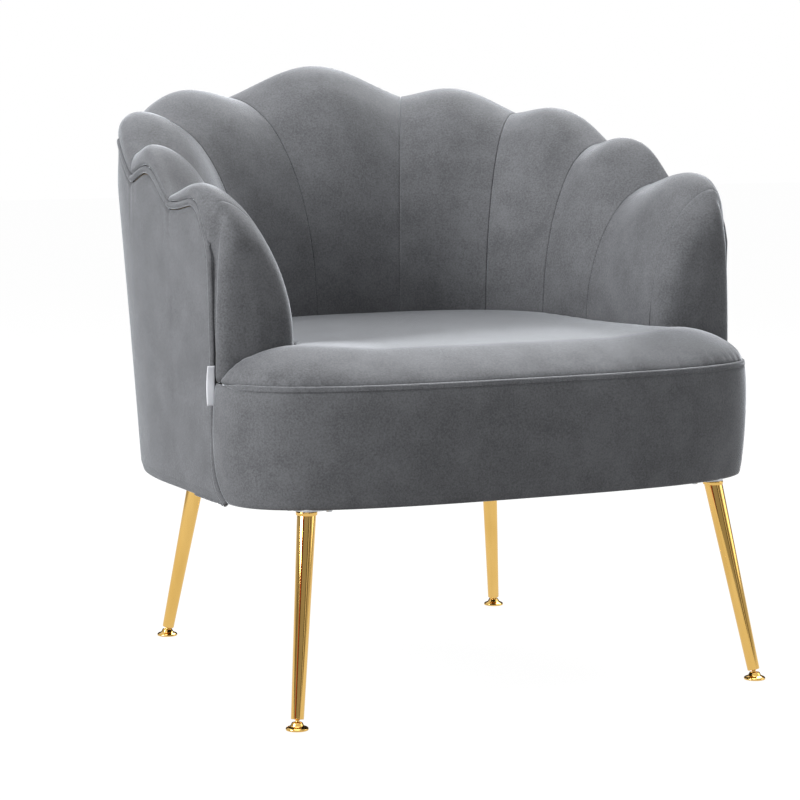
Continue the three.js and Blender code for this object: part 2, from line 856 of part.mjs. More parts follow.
// The crowned top's level at an inset from its edge
function seatTopLevel(inset, spot) {
  const inwards = Math.min(1, inset / seatRollWidth);
  const roll = (1 - (1 - inwards) ** seatRollPower) ** (1 / seatRollPower);
  const back = Math.max(0, (spot.y - armFrontY) / (wellY - armFrontY));
  return seamLevel + touchGap + seatCrown * roll + seatBackRise * back * roll;
}

// The seat fills the well between the arms and wraps round in front of them
function seatCushion() {
  const bottomLevel = railBottomLevel + railHeight + springAllowance;
  const rings = [
    seatRing(seatInnerInset, () => bottomLevel),
    seatRing(seatInnerInset, () => seamLevel + touchGap),
  ];
  [...seatRollShares.map((share) => share * seatRollWidth), seatMiddleInset].forEach((inset) => {
    rings.push(seatRing(inset, (spot) => seatTopLevel(inset, spot)));
  });
  const rightWall = [];
  for (let cell = 0; cell < armCell; cell++) {
    stationShares(cell).slice(cell === 0 ? 0 : 1).forEach((share) => {
      const spot = lerp(wellSeamShares[cell], wellSeamShares[cell + 1], share);
      const { place, out } = wellCurve.at(spot);
      rightWall.push(place.addScaledVector(out, -touchGap));
    });
  }
  armShares.slice(1).forEach((share) => {
    const { place, out } = wellCurve.at(lerp(wellSeamShares[armCell], 1, share));
    rightWall.push(place.addScaledVector(out, -touchGap));
  });
  rightWall.push(new THREE.Vector2(wellHalfWidth - touchGap, armFrontY - touchGap));
  const wideX = backHalfWidth + cutOverrun;
  const leftWall = rightWall.slice(1).map((p) => new THREE.Vector2(-p.x, p.y)).reverse();
  const arms = [
    new THREE.Vector2(-wideX, backY),
    new THREE.Vector2(-wideX, armFrontY - touchGap),
    ...leftWall,
    ...rightWall,
    new THREE.Vector2(wideX, armFrontY - touchGap),
    new THREE.Vector2(wideX, backY),
  ];
  const armBlock = board(arms, railBottomLevel, seamLevel + cutOverrun * 3 - railBottomLevel);
  return cut(loft(rings), armBlock);
}

// Front band: the upright face of the seat from one piping to the other
function bandOffset(share) {
  return bandBulge * Math.sin(Math.PI * share) - bandDrawIn * (1 - share) ** (3 / 2);
}

function bandRing(turnShare, rearY) {
  const flat = (inset, share) => {
    const spot = seatOutline(inset, turnShare);
    if (rearY !== undefined) spot.y = rearY;
    return new THREE.Vector3(spot.x, spot.y, lerp(coverBottomLevel, seamLevel, share));
  };
  const outer = bandShares.map((share) => flat(-bandOffset(share), share));
  const inner = bandShares.map((share) => flat(bandThickness - bandOffset(share), share));
  return [...outer, ...inner.reverse()];
}

function seatBand() {
  const rearY = armPipingY + pipingRadius;
  const rings = [bandRing(1 / 2, rearY)];
  for (let i = 0; i <= bandStations; i++) rings.push(bandRing((1 + i / bandStations) / 2));
  rings.push(bandRing(1, rearY));
  const right = behindPiping(seatHalfWidth / 2);
  return cut(loft(rings), right, mirrorGeometry(geometryOf(solidOf(right))));
}

// Base rails
const skirtInset = coverThickness + touchGap + hemTurn;
const sideRailInnerX = skirtHalfWidth - sideRailWidth;
const rearRailInnerY = skirtY - rearRailDepth;

// The skirt's plan outline on the right, from one Y back to another, stepped in from the cover
function skirtStretch(fromY, toY) {
  const spots = [new THREE.Vector2(skirtHalfWidth - skirtInset, armFrontY)];
  for (let cell = armCell - 1; cell >= 0; cell--) {
    [...stationShares(cell)].reverse().slice(cell === armCell - 1 ? 0 : 1).forEach((share) => {
      const { place, out } = skirtCurve.at(lerp(skirtSeamShares[cell], skirtSeamShares[cell + 1], share));
      spots.push(place.addScaledVector(out, -skirtInset));
    });
  }
  const atY = (y) => {
    const next = spots.findIndex((p) => p.y >= y);
    const [a, b] = [spots[Math.max(0, next - 1)], spots[next]];
    return a.clone().lerp(b, (y - a.y) / (b.y - a.y));
  };
  const between = spots.filter((p) => p.y > fromY && p.y < toY);
  return toY >= spots.at(-1).y ? [atY(fromY), ...between] : [atY(fromY), ...between, atY(toY)];
}

function bothSides(rightPoints) {
  const left = rightPoints.filter((p) => p.x > 0).map((p) => new THREE.Vector2(-p.x, p.y));
  return [...rightPoints, ...left.reverse()];
}

// The front rail's outer edge from the middle round to the right
function frontEdge(inset) {
  const points = [];
  for (let i = 0; i <= railEdgeSteps; i++) {
    points.push(seatOutline(railEdgeInset + inset, (3 + i / railEdgeSteps) / 4));
  }
  points[0].x = 0;
  return points;
}

function frontRailOutline() {
  const front = frontEdge(0);
  const splitY = railFrontSplitY - touchGap;
  const innerY = seatFrontY + frontRailDepth;
  return bothSides([
    ...front,
    new THREE.Vector2(front.at(-1).x, splitY),
    new THREE.Vector2(wellHalfWidth, splitY),
    new THREE.Vector2(wellHalfWidth, splitY - (frontGussetWidth - railHeight)),
    new THREE.Vector2(wellHalfWidth - frontGussetWidth, innerY),
  ]);
}

function rearRailOutline() {
  const outer = skirtStretch(railRearSplitY + touchGap, backY);
  return bothSides([
    new THREE.Vector2(sideRailInnerX - rearGussetWidth, rearRailInnerY),
    new THREE.Vector2(sideRailInnerX, railRearSplitY + touchGap),
    ...outer,
  ]);
}

function sideRailOutline(side) {
  const outer = skirtStretch(railFrontSplitY, railRearSplitY);
  const outline = [
    new THREE.Vector2(sideRailInnerX, railFrontSplitY),
    ...outer,
    new THREE.Vector2(sideRailInnerX, railRearSplitY),
  ];
  return outline.map((p) => new THREE.Vector2(side * p.x, p.y));
}

// Legs
const frontLegX = seatHalfWidth - frontLegSideInset;
const frontLegReach = (1 - (frontLegX / seatHalfWidth) ** seatPower) ** (1 / seatPower);
const frontLegY = lerp(seatShoulderY, seatFrontY, frontLegReach) + frontLegInset;
const legCorners = [-1, 1].flatMap((side) => {
  const word = side < 0 ? "left" : "right";
  return [
    {
      name: `front_${word}`,
      top: new THREE.Vector2(side * frontLegX, frontLegY),
      splay: new THREE.Vector2(side * frontLegSplayX, frontLegSplayY),
    },
    {
      name: `rear_${word}`,
      top: new THREE.Vector2(side * (skirtHalfWidth - rearLegSideInset), skirtY - rearLegInset),
      splay: new THREE.Vector2(side * rearLegSplayX, rearLegSplayY),
    },
  ];
});

const plateTopLevel = railBottomLevel - touchGap;
const plateBottomLevel = plateTopLevel - plateThickness;
const legTopLevel = plateBottomLevel - touchGap;

function legDirection({ splay }) {
  return new THREE.Vector3(splay.x, splay.y, legEndLevel - legTopLevel).normalize();
}

// The leg's axis at a level
function legPlace(corner, level) {
  const down = (legTopLevel - level) / (legTopLevel - legEndLevel);
  const spot = corner.top.clone().addScaledVector(corner.splay, down);
  return new THREE.Vector3(spot.x, spot.y, level);
}

// Screw places round a leg, in from the chair's edge
function screwPlaces({ top, splay }) {
  const inwards = splay.clone().normalize().negate();
  const sideways = new THREE.Vector2(-inwards.y, inwards.x);
  const lugs = [
    [plateReach, 0],
    [plateShoulder, plateHalfSpread],
    [plateShoulder, -plateHalfSpread],
  ];
  return lugs.map(([into, across]) => {
    return top.clone().addScaledVector(inwards, into).addScaledVector(sideways, across);
  });
}

function roundHole(place, radius) {
  return new THREE.Path().absarc(place.x, place.y, radius, 0, 4 * quarterTurn, true);
}

const screwHoleRadius = screwShankRadius + touchGap;

function screwHoles(corners) {
  return corners.flatMap(screwPlaces).map((place) => roundHole(place, screwHoleRadius));
}

// Corners of the convex outline round a set of points
function hullOutline(points) {
  const sorted = [...points].sort((a, b) => a.x - b.x || a.y - b.y);
  const chain = (list) => {
    const kept = [];
    list.forEach((p) => {
      while (kept.length > 1 && turnAt(kept.at(-2), kept.at(-1), p) <= 0) kept.pop();
      kept.push(p);
    });
    return kept.slice(0, -1);
  };
  return [...chain(sorted), ...chain(sorted.reverse())];
}

function turnAt(a, b, c) {
  return (b.x - a.x) * (c.y - a.y) - (b.y - a.y) * (c.x - a.x);
}

function plateOutline(corner, growth = 0) {
  const circle = (place, radius) => {
    return Array.from({ length: 4 * plateArcSteps }, (_, i) => {
      const angle = (quarterTurn * i) / plateArcSteps;
      return new THREE.Vector2(Math.cos(angle), Math.sin(angle)).multiplyScalar(radius).add(place);
    });
  };
  const lugs = screwPlaces(corner).flatMap((place) => circle(place, plateLugRadius + growth));
  return hullOutline([...lugs, ...circle(corner.top, plateBossRadius + growth)]);
}

// A tapered tube under a level collar, closed at its lower end by a plug that takes the
// glide's stem
function legTube(corner) {
  const length = legPlace(corner, legTopLevel).distanceTo(legPlace(corner, legEndLevel));
  const boreRadius = stemShankRadius + touchGap;
  const tip = length + collarHeight;
  const radiusAt = (height) => lerp(legEndRadius, legTopRadius, height / length);
  const profile = [
    [boreRadius, 0],
    [legEndRadius - collarChamfer, 0],
    [legEndRadius, collarChamfer],
    [radiusAt(tip), tip],
    [legTopRadius - legWall, tip],
    [radiusAt(legPlugLength) - legWall, legPlugLength],
    [boreRadius, legPlugLength],
    [boreRadius, 0],
  ];
  const geometry = turned(profile, legSides);
  const upwards = legDirection(corner).negate();
  geometry.applyQuaternion(new THREE.Quaternion().setFromUnitVectors(new THREE.Vector3(0, 0, 1), upwards));
  const foot = legPlace(corner, legEndLevel);
  geometry.translate(foot.x, foot.y, foot.z);
  const wide = 3 * collarRadius;
  const above = boxBetween(
    new THREE.Vector3(corner.top.x - wide, corner.top.y - wide, legTopLevel),
    new THREE.Vector3(corner.top.x + wide, corner.top.y + wide, legTopLevel + cutOverrun),
  );
  const collar = turned(
    [
      [0, 0],
      [collarRadius - collarChamfer, 0],
      [collarRadius, collarChamfer],
      [collarRadius, collarHeight],
      [0, collarHeight],
    ],
    legSides,
  );
  const seat = legPlace(corner, legTopLevel - collarHeight / 2);
  collar.translate(seat.x, seat.y, legTopLevel - collarHeight);
  return geometryOf(solidOf(cut(geometry, above)).add(solidOf(collar)));
}

function screw() {
  const neck = screwHeadHeight + screwShankLength;
  return turned(
    [
      [0, 0],
      [screwHeadRadius - screwHeadRound, 0],
      [screwHeadRadius, screwHeadRound],
      [screwHeadRadius, screwHeadHeight],
      [screwShankRadius, screwHeadHeight],
      [screwShankRadius, neck - screwShankRadius],
      [0, neck],
    ],
    screwSides,
  );
}

// The ball of a glide's stem, then its neck and its threaded shank inside the leg
function glideStem(shankFoot) {
  const ball = [];
  const neckAngle = Math.asin(stemNeckRadius / ballRadius);
  for (let i = 0; i <= ballSteps; i++) {
    const angle = lerp(0, 2 * quarterTurn - neckAngle, i / ballSteps);
    ball.push([ballRadius * Math.sin(angle), -ballRadius * Math.cos(angle)]);
  }
  const shankTip = shankFoot + stemLength - legPlugLength / 4;
  return turned(
    [
      ...ball,
      [stemNeckRadius, shankFoot - stemChamfer],
      [stemShankRadius, shankFoot],
      [stemShankRadius, shankTip - stemChamfer],
      [stemShankRadius - stemChamfer, shankTip],
      [0, shankTip],
    ],
    glideSides,
  );
}

// A mushroom pad with a socket that traps the stem's ball
function glidePad() {
  const socket = [];
  const mouthAngle = Math.acos(socketLip / socketRadius);
  for (let i = 0; i <= ballSteps; i++) {
    const angle = lerp(mouthAngle, 2 * quarterTurn, i / ballSteps);
    socket.push([socketRadius * Math.sin(angle), ballLevel + socketRadius * Math.cos(angle)]);
  }
  return turned(
    [
      [0, 0],
      [padRadius - padEdge, 0],
      [padRadius, padEdge],
      [padRadius, padRim],
      [padDomeRadius, padDomeHeight],
      [padFootRadius, padFootHeight],
      [padNeckRadius, padHeight],
      [padMouthRadius, padHeight],
      ...socket,
    ],
    glideSides,
  );
}

function addLeg(corner) {
  const holes = screwHoles([corner]);
  const outline = plateOutline(corner);
  addMesh(`leg_${corner.name}`, legTube(corner), gold);
  addMesh(`leg_plate_${corner.name}`, board(outline, plateBottomLevel, plateThickness, holes), steel);
  screwPlaces(corner).forEach((place, i) => {
    const mesh = addMesh(`leg_screw_${corner.name}_${i + 1}`, screw(), steel);
    mesh.position.set(place.x, place.y, plateBottomLevel - touchGap - screwHeadHeight);
  });
  const glide = new THREE.Group();
  glide.position.copy(legPlace(corner, ballLevel));
  chair.add(glide);
  const ballToLeg = legPlace(corner, legEndLevel).distanceTo(legPlace(corner, ballLevel));
  const stem = addMesh(`glide_stem_${corner.name}`, glideStem(ballToLeg), gold, glide);
  const upwards = legDirection(corner).negate();
  stem.quaternion.setFromUnitVectors(new THREE.Vector3(0, 0, 1), upwards);
  addMesh(`glide_pad_${corner.name}`, glidePad(), gold, glide).position.z = -ballLevel;
}

function addBase() {
  const cornersNamed = (word) => legCorners.filter(({ name }) => name.startsWith(word));
  const rail = (name, outline, holes = []) => {
    addMesh(name, board(outline, railBottomLevel, railHeight, holes), timber);
  };
  rail("base_rail_front", frontRailOutline(), screwHoles(cornersNamed("front")));
  rail("base_rail_rear", rearRailOutline(), screwHoles(cornersNamed("rear")));
  rail("base_rail_left", sideRailOutline(-1));
  rail("base_rail_right", sideRailOutline(1));
}

// The wall frame's inner face at its foot, at a distance to the side
function frameFootY(x) {
  const feet = [];
  for (let cell = 0; cell < armCell; cell++) {
    stationShares(cell).slice(cell === 0 ? 0 : 1).forEach((share) => {
      feet.push(wallFoot(wallStation(cell, share), padDepth, wellLevel));
    });
  }
  const next = feet.findIndex((p) => p.x > x);
  const [before, after] = [feet[next - 1], feet[next]];
  return lerp(before.y, after.y, (x - before.x) / (after.x - before.x));
}

// Zigzag seat springs, arched up from rail to rail
function addSprings() {
  const frontY = seatFrontY + frontRailDepth - springFrontInset;
  const level = railBottomLevel + railHeight + touchGap + springWireRadius;
  for (let n = 0; n < springCount; n++) {
    const x = springSpacing * (n - (springCount - 1) / 2);
    const rearY = lerp(rearRailInnerY, frameFootY(Math.abs(x)), springRearShare);
    const points = [];
    for (let i = 0; i <= springSteps; i++) {
      const share = i / springSteps;
      const swing = springSwing * Math.sin(4 * quarterTurn * springWaves * share);
      const arch = springArch * Math.sin(Math.PI * share);
      points.push(new THREE.Vector3(x + swing, lerp(frontY, rearY, share), level + arch));
    }
    addMesh(`seat_spring_${n + 1}`, tube(points, springWireRadius, springSides), springSteel);
  }
}

function dustCover() {
  const middle = new THREE.Vector2(0, railFrontSplitY);
  const skirt = skirtStretch(railFrontSplitY, backY).map((p) => {
    return p.clone().add(middle.clone().sub(p).setLength(dustCoverInset));
  });
  const bottomLevel = railBottomLevel - touchGap - dustCoverThickness;
  const sheet = board(bothSides([...frontEdge(dustCoverInset), ...skirt]), bottomLevel, dustCoverThickness);
  const windows = legCorners.map((corner) => {
    const outline = plateOutline(corner, 2 * touchGap);
    return board(outline, bottomLevel - cutOverrun, 2 * cutOverrun);
  });
  return cut(sheet, ...windows);
}

// A blank cloth tag, which stands out of the seam in front of the left arm's piping
function tagRing(level, growth) {
  const edge = besidePiping(pipingRadius + touchGap);
  const next = edge.findIndex((p) => p.y <= level);
  const [above, below] = [edge[next - 1], edge[next]];
  const y = lerp(above.x, below.x, (above.y - level) / (above.y - below.y));
  const innerX = seatHalfWidth + bandBulge + touchGap - growth;
  const outerX = backHalfWidth + pipingInset + growth;
  const [rearY, frontY] = [y + growth, y - tagThickness - growth];
  const corners = [[innerX, rearY], [outerX, rearY], [outerX, frontY], [innerX, frontY]];
  return corners.map(([x, along]) => new THREE.Vector3(-x, along, level));
}

function sideTag(growth = 0) {
  const topLevel = tagBottomLevel + tagHeight + growth;
  return loft([tagRing(tagBottomLevel - growth, growth), tagRing(topLevel, growth)]);
}

addMesh("seat_cushion", seatCushion(), velvet);
addMesh("seat_band", seatBand(), velvet);
addChannels();
addMesh("outer_cover_left", sideCover(-1), velvet);
addMesh("outer_cover_back", rearCover(), velvet);
addMesh("outer_cover_right", sideCover(1), velvet);
addMesh("piping", tube(pipingPoints(), pipingRadius, pipingSides), velvet);
addMesh("side_tag", sideTag(), tagCloth);
addMesh("wall_frame_left", sideWallFrame(-1), plywood);
addMesh("wall_frame_back", rearWallFrame(), plywood);
addMesh("wall_frame_right", sideWallFrame(1), plywood);
addBase();
addSprings();
addMesh("dust_cover", dustCover(), dustCloth);
legCorners.forEach(addLeg);

export default chair;
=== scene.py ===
# %% [markdown]
# # Scallop back chair
# A low tub chair in grey velvet: nine padded channels rise in scallops round the back, a crowned
# seat fills the well, and four polished tube legs splay out to levelling glides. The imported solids
# are the fixed frame, so every piece here is made in place, in metres, round those solids.

# %% Load the frame
import math

import bmesh
import bpy
import numpy as np
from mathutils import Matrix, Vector, noise
from mathutils.geometry import convex_hull_2d, delaunay_2d_cdt


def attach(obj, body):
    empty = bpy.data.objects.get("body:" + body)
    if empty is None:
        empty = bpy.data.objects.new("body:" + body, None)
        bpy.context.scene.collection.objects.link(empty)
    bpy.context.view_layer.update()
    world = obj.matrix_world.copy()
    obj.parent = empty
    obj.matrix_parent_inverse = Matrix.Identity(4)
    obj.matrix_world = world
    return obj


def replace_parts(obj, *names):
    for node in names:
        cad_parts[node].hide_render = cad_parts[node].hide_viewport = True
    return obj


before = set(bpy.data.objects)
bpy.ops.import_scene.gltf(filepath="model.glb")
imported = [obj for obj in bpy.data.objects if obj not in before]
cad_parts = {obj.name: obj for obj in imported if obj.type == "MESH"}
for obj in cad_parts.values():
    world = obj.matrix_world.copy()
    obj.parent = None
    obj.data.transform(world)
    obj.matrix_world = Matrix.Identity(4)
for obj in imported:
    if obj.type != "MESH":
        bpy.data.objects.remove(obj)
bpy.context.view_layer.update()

MM = 0.001

# %% [markdown]
# ## Camera, floor and light
# The photograph is taken from a little above the seat with a long lens, from the front left. The
# chair stands on a white sweep, so a plane and the world can stand in for it: both show plain
# white to the camera and to polished metal, and the floor still takes a soft shadow.

# %% Camera
CAMERA_PLACE = Vector((-1.7209, -3.4894, 0.8185))
CAMERA_TARGET = Vector((0.0, 0.050, 0.345))
LENS_MM = 129.8
SENSOR_MM = 36.0


def aimed(data, place, target):
    """An object of a camera or lamp, placed and turned towards a target"""
    obj = bpy.data.objects.new(data.name, data)
    bpy.context.scene.collection.objects.link(obj)
    obj.location = place
    obj.rotation_euler = (Vector(target) - Vector(place)).to_track_quat("-Z", "Y").to_euler()
    return obj


lens = bpy.data.cameras.new("camera")
lens.lens = LENS_MM
lens.sensor_width = SENSOR_MM
bpy.context.scene.camera = aimed(lens, CAMERA_PLACE, CAMERA_TARGET)
bpy.context.scene.view_settings.view_transform = "Standard"
print("camera", LENS_MM, "mm, at", round((CAMERA_PLACE - CAMERA_TARGET).length, 3), "m")

# %% [markdown]
# ## Shader maths
# A finish is a small machine of nodes. Each could be placed and linked by hand, but long chains of
# Math nodes are hard to read, so a class wraps a socket and lets plain arithmetic add them. Every
# other node comes from one method, which sets its settings first and then its sockets.

# %% Shader helpers


class Wire:
    """A node's output, on which Python's operators add Math nodes"""

    def __init__(self, finish, socket):
        self.finish = finish
        self.socket = socket

    def maths(self, operation, *values):
        return self.finish.node("ShaderNodeMath", {"operation": operation}, dict(enumerate(values)))

    def __add__(self, other):
        return self.maths("ADD", self, other)

    __radd__ = __add__

    def __mul__(self, other):
        return self.maths("MULTIPLY", self, other)

    __rmul__ = __mul__

    def __sub__(self, other):
        return self.maths("SUBTRACT", self, other)

    def __rsub__(self, other):
        return self.maths("SUBTRACT", other, self)

    def beside(self, name):
        """Another output of the same node"""
        return Wire(self.finish, self.socket.node.outputs[name])


class Finish:
    """The nodes of a material or of the world, all made by one method"""

    def __init__(self, name, owners=bpy.data.materials):
        self.material = owners.new(name)
        self.material.use_nodes = True
        self.tree = self.material.node_tree
        self.tree.nodes.clear()

    def node(self, kind, settings=None, values=None, output=0):
        made = self.tree.nodes.new(kind)
        for key, value in (settings or {}).items():
            if key == "stops":
                ramp = made.color_ramp.elements
                for spot, (place, color) in enumerate(value):
                    stop = ramp[spot] if spot < 2 else ramp.new(place)
                    stop.position = place
                    stop.color = (*color, 1)
            else:
                setattr(made, key, value)
        for key, value in (values or {}).items():
            if isinstance(value, Wire):
                self.tree.links.new(value.socket, made.inputs[key])
            else:
                made.inputs[key].default_value = value
        return Wire(self, made.outputs[output]) if len(made.outputs) else made

    def place(self, scale=(1, 1, 1)):
        """The point on the piece, in metres times a scale"""
        spot = self.node("ShaderNodeTexCoord", output="Object")
        if scale == (1, 1, 1):
            return spot
        return self.node("ShaderNodeVectorMath", {"operation": "MULTIPLY"}, {0: spot, 1: scale})

    def noise(self, per_metre, detail, roughness=0.5, scale=(1, 1, 1)):
        values = {"Vector": self.place(scale), "Scale": per_metre, "Detail": detail}
        return self.node("ShaderNodeTexNoise", values={**values, "Roughness": roughness})

    def shade(self, amount, dark, light):
        """A colour between two, by an amount from 0 to 1"""
        values = {0: amount, 6: (*dark, 1), 7: (*light, 1)}
        return self.node("ShaderNodeMix", {"data_type": "RGBA"}, values, output=2)

    def bump(self, height, depth, strength):
        values = {"Height": height, "Distance": depth, "Strength": strength}
        return self.node("ShaderNodeBump", values=values)

    def surface(self, **values):
        """The Principled shader, with its sockets named in words joined by underscores"""
        sockets = {key.replace("_", " "): value for key, value in values.items()}
        made = self.node("ShaderNodeBsdfPrincipled", values=sockets)
        self.node("ShaderNodeOutputMaterial", values={"Surface": made})
        return self.material


print("shader helpers ready")

# %% [markdown]
# A white sweep is bright paper. To the camera the floor is mostly glow, which stays white at any
# light, with a share of matt grey that takes the chair's shadow. To all other rays it is matt grey
# alone, so that it doesn't light the chair from below. The world does the same with its strength.

# %% Floor and world
FLOOR_HALF = 12.0
FLOOR_LEVEL = -0.4 * MM
FLOOR_GREY = 0.4
FLOOR_WHITE = 1.13
FLOOR_GLOW = 0.86
WORLD_LEVEL = 0.24


def seen_directly(finish):
    """1 for rays from the camera, a mirror or glass, and 0 for the light on other things"""
    camera = finish.node("ShaderNodeLightPath")
    mirror = camera.beside("Is Glossy Ray")
    glass = camera.beside("Is Transmission Ray")
    return camera.maths("MAXIMUM", camera.maths("MAXIMUM", camera, mirror), glass)


def floor_finish():
    finish = Finish("white_sweep")
    matt = finish.node("ShaderNodeBsdfDiffuse", values={"Color": (FLOOR_GREY, FLOOR_GREY, FLOOR_GREY, 1)})
    glow = finish.node("ShaderNodeEmission", values={"Strength": FLOOR_WHITE})
    share = seen_directly(finish) * FLOOR_GLOW
    mixed = finish.node("ShaderNodeMixShader", values={0: share, 1: matt, 2: glow})
    finish.node("ShaderNodeOutputMaterial", values={"Surface": mixed})
    return finish.material


def stage_piece(name, corners, faces, material):
    """A plain mesh of the studio, which isn't part of the chair"""
    mesh = bpy.data.meshes.new(name)
    mesh.from_pydata(corners, [], faces)
    mesh.materials.append(material)
    piece = bpy.data.objects.new(name, mesh)
    bpy.context.scene.collection.objects.link(piece)
    return piece


floor_signs = ((-1, -1), (1, -1), (1, 1), (-1, 1))
floor_corners = [(x * FLOOR_HALF, y * FLOOR_HALF, FLOOR_LEVEL) for x, y in floor_signs]
stage_piece("floor", floor_corners, [(0, 1, 2, 3)], floor_finish())

sky = Finish("studio", bpy.data.worlds)
bpy.context.scene.world = sky.material
level = seen_directly(sky) * (1 - WORLD_LEVEL) + WORLD_LEVEL
backdrop = sky.node("ShaderNodeBackground", values={"Color": (1, 1, 1, 1), "Strength": level})
sky.node("ShaderNodeOutputWorld", values={"Surface": backdrop})
print("floor and world made")

# %% [markdown]
# Polished metal in an all-white room looks like flat yellow paint. In a studio, dark and warm
# cards stand round it, out of the picture, so that the tubes reflect long stripes. A far ring of
# cards does the same here: only mirror rays meet it, so it neither shows nor lights the velvet.

# %% Cards for the metal
CARD_DISTANCE = 6.0
CARD_HEIGHT = 3.2
CARD_TURNS = 180
CARD_TONES = [
    (-180, (0.03, 0.022, 0.015)),
    (-128, (0.6, 0.6, 0.6)),
    (-62, (0.16, 0.13, 0.1)),
    (-50, (0.8, 0.8, 0.8)),
    (-38, (0.05, 0.04, 0.03)),
    (-30, (0.42, 0.42, 0.42)),
    (22, (0.05, 0.04, 0.03)),
    (31, (0.62, 0.09, 0.02)),
    (42, (0.38, 0.38, 0.38)),
    (66, (0.1, 0.08, 0.06)),
    (76, (0.5, 0.5, 0.5)),
    (128, (0.03, 0.022, 0.015)),
]


def card_finish():
    """Each card's tone, by its angle round the chair from the way to the photograph's camera"""
    finish = Finish("studio_cards")
    x = finish.node("ShaderNodeSeparateXYZ", values={0: finish.place()})
    y = x.beside("Y")
    turn = x.maths("ARCTAN2", x, y) * (1 / (2 * math.pi)) + 0.5
    stops = {"stops": [((angle + 180) / 360, tone) for angle, tone in CARD_TONES]}
    tone = finish.node("ShaderNodeValToRGB", stops, {"Fac": turn})
    tone.socket.node.color_ramp.interpolation = "CONSTANT"
    glow = finish.node("ShaderNodeEmission", values={"Color": tone, "Strength": 1.0})
    finish.node("ShaderNodeOutputMaterial", values={"Surface": glow})
    return finish.material


corners = []
panels = []
for i in range(CARD_TURNS):
    angle = 2 * math.pi * i / CARD_TURNS
    x, y = CARD_DISTANCE * math.sin(angle), CARD_DISTANCE * math.cos(angle)
    corners += [(x, y, 0), (x, y, CARD_HEIGHT)]
    following = 2 * ((i + 1) % CARD_TURNS)
    panels.append((2 * i, 2 * i + 1, following + 1, following))
cards = stage_piece("cards", corners, panels, card_finish())
to_camera = CAMERA_PLACE - CAMERA_TARGET
cards.rotation_euler = (0, 0, -math.atan2(to_camera.x, to_camera.y))
for ray in ("camera", "diffuse", "transmission", "volume_scatter", "shadow"):
    setattr(cards, f"visible_{ray}", False)
print(len(CARD_TONES), "cards")

# %% [markdown]
# Four soft boxes light the velvet: a large key from the left, one overhead, one from behind that
# rims the scallops, and a weak fill from the right. An area lamp gives such a soft edge by itself.

# %% Lamps: place, target, width in metres and watts
LAMPS = {
    "key": ((-3.7, -0.5, 2.0), (0, 0, 0.45), 1.6, 178),
    "top": ((-0.3, -0.3, 3.4), (0, 0, 0.45), 2.0, 62),
    "rim": ((1.9, 1.5, 2.9), (0, 0, 0.5), 1.6, 125),
    "fill": ((3.6, -1.6, 1.5), (0, 0, 0.5), 2.0, 26),
}
for name, (place, target, size, watts) in LAMPS.items():
    lamp = bpy.data.lights.new(name, "AREA")
    lamp.size = size
    lamp.energy = watts
    aimed(lamp, place, target)
print(len(LAMPS), "lamps")

# %% [markdown]
# ## Finishes
# Velvet is a short upright pile: looked at square on it swallows light, and where the cloth turns
# away from the eye the fibres' sides catch it as a bright rim. A sheen lobe does that on its own
# sockets. Fine noise stands in for the fibres and broad noise for the pile being stroked two ways.

# %% Velvet
VELVET_DARK = (0.082, 0.084, 0.09)
VELVET_LIGHT = (0.142, 0.146, 0.156)
STROKES_PER_M = 22
FLECKS_PER_M = 420
FIBRES_PER_M = 2400
STROKE_SHARE = 0.35
STROKE_RAMP = (0.38, 0.62)


def velvet_finish():
    finish = Finish("velvet")
    strokes = finish.noise(STROKES_PER_M, 3.0, 0.6)
    flecks = finish.noise(FLECKS_PER_M, 3.0, 0.7)
    fibres = finish.noise(FIBRES_PER_M, 1.0)
    shade = strokes * STROKE_SHARE + flecks * (1 - STROKE_SHARE)
    stops = {"stops": [(STROKE_RAMP[0], (0, 0, 0)), (STROKE_RAMP[1], (1, 1, 1))]}
    tone = finish.node("ShaderNodeValToRGB", stops, {"Fac": shade})
    pile = flecks * 0.6 + fibres * 0.4
    return finish.surface(
        Base_Color=finish.shade(tone, VELVET_DARK, VELVET_LIGHT),
        Roughness=flecks * 0.2 + 0.72,
        Normal=finish.bump(pile, 0.5 * MM, 0.55),
        Specular_IOR_Level=0.25,
        Sheen_Weight=1.0,
        Sheen_Roughness=0.3,
        Sheen_Tint=(0.9, 0.94, 1.0, 1),
    )


velvet = velvet_finish()
print("velvet")

# %% [markdown]
# The legs are steel tube plated in gold and polished to a mirror. Their look is mostly what they
# reflect, so the finish adds only faint wipe marks and the smallest waviness of rolled tube. The
# hidden parts get plain finishes of their own: noise for steel, wave rings for wood, and crossed
# waves for cloth.

# %% Metals, boards and cloths
WIPES_PER_M = 60
TUBE_WAVES_PER_M = 14
STEEL_GRAIN_PER_M = 300
WOOD_WARPS_PER_M = 9
WOOD_RINGS_PER_M = 70
PORES_PER_M = 900
SLUBS_PER_M = 120


def gold_finish():
    finish = Finish("gold")
    wipes = finish.noise(WIPES_PER_M, 3.0, scale=(1, 1, 0.15))
    return finish.surface(
        Base_Color=finish.shade(wipes, (0.64, 0.39, 0.1), (0.8, 0.52, 0.17)),
        Roughness=wipes * 0.08 + 0.05,
        Normal=finish.bump(finish.noise(TUBE_WAVES_PER_M, 0.0, scale=(1, 1, 0.1)), 0.4 * MM, 0.1),
        Metallic=1.0,
    )


def metal_finish(name, dark, light, roughness):
    finish = Finish(name)
    grain = finish.noise(STEEL_GRAIN_PER_M, 3.0)
    return finish.surface(
        Base_Color=finish.shade(grain, dark, light),
        Roughness=grain * 0.2 + roughness,
        Normal=finish.bump(grain, 0.1 * MM, 0.4),
        Metallic=1.0,
    )


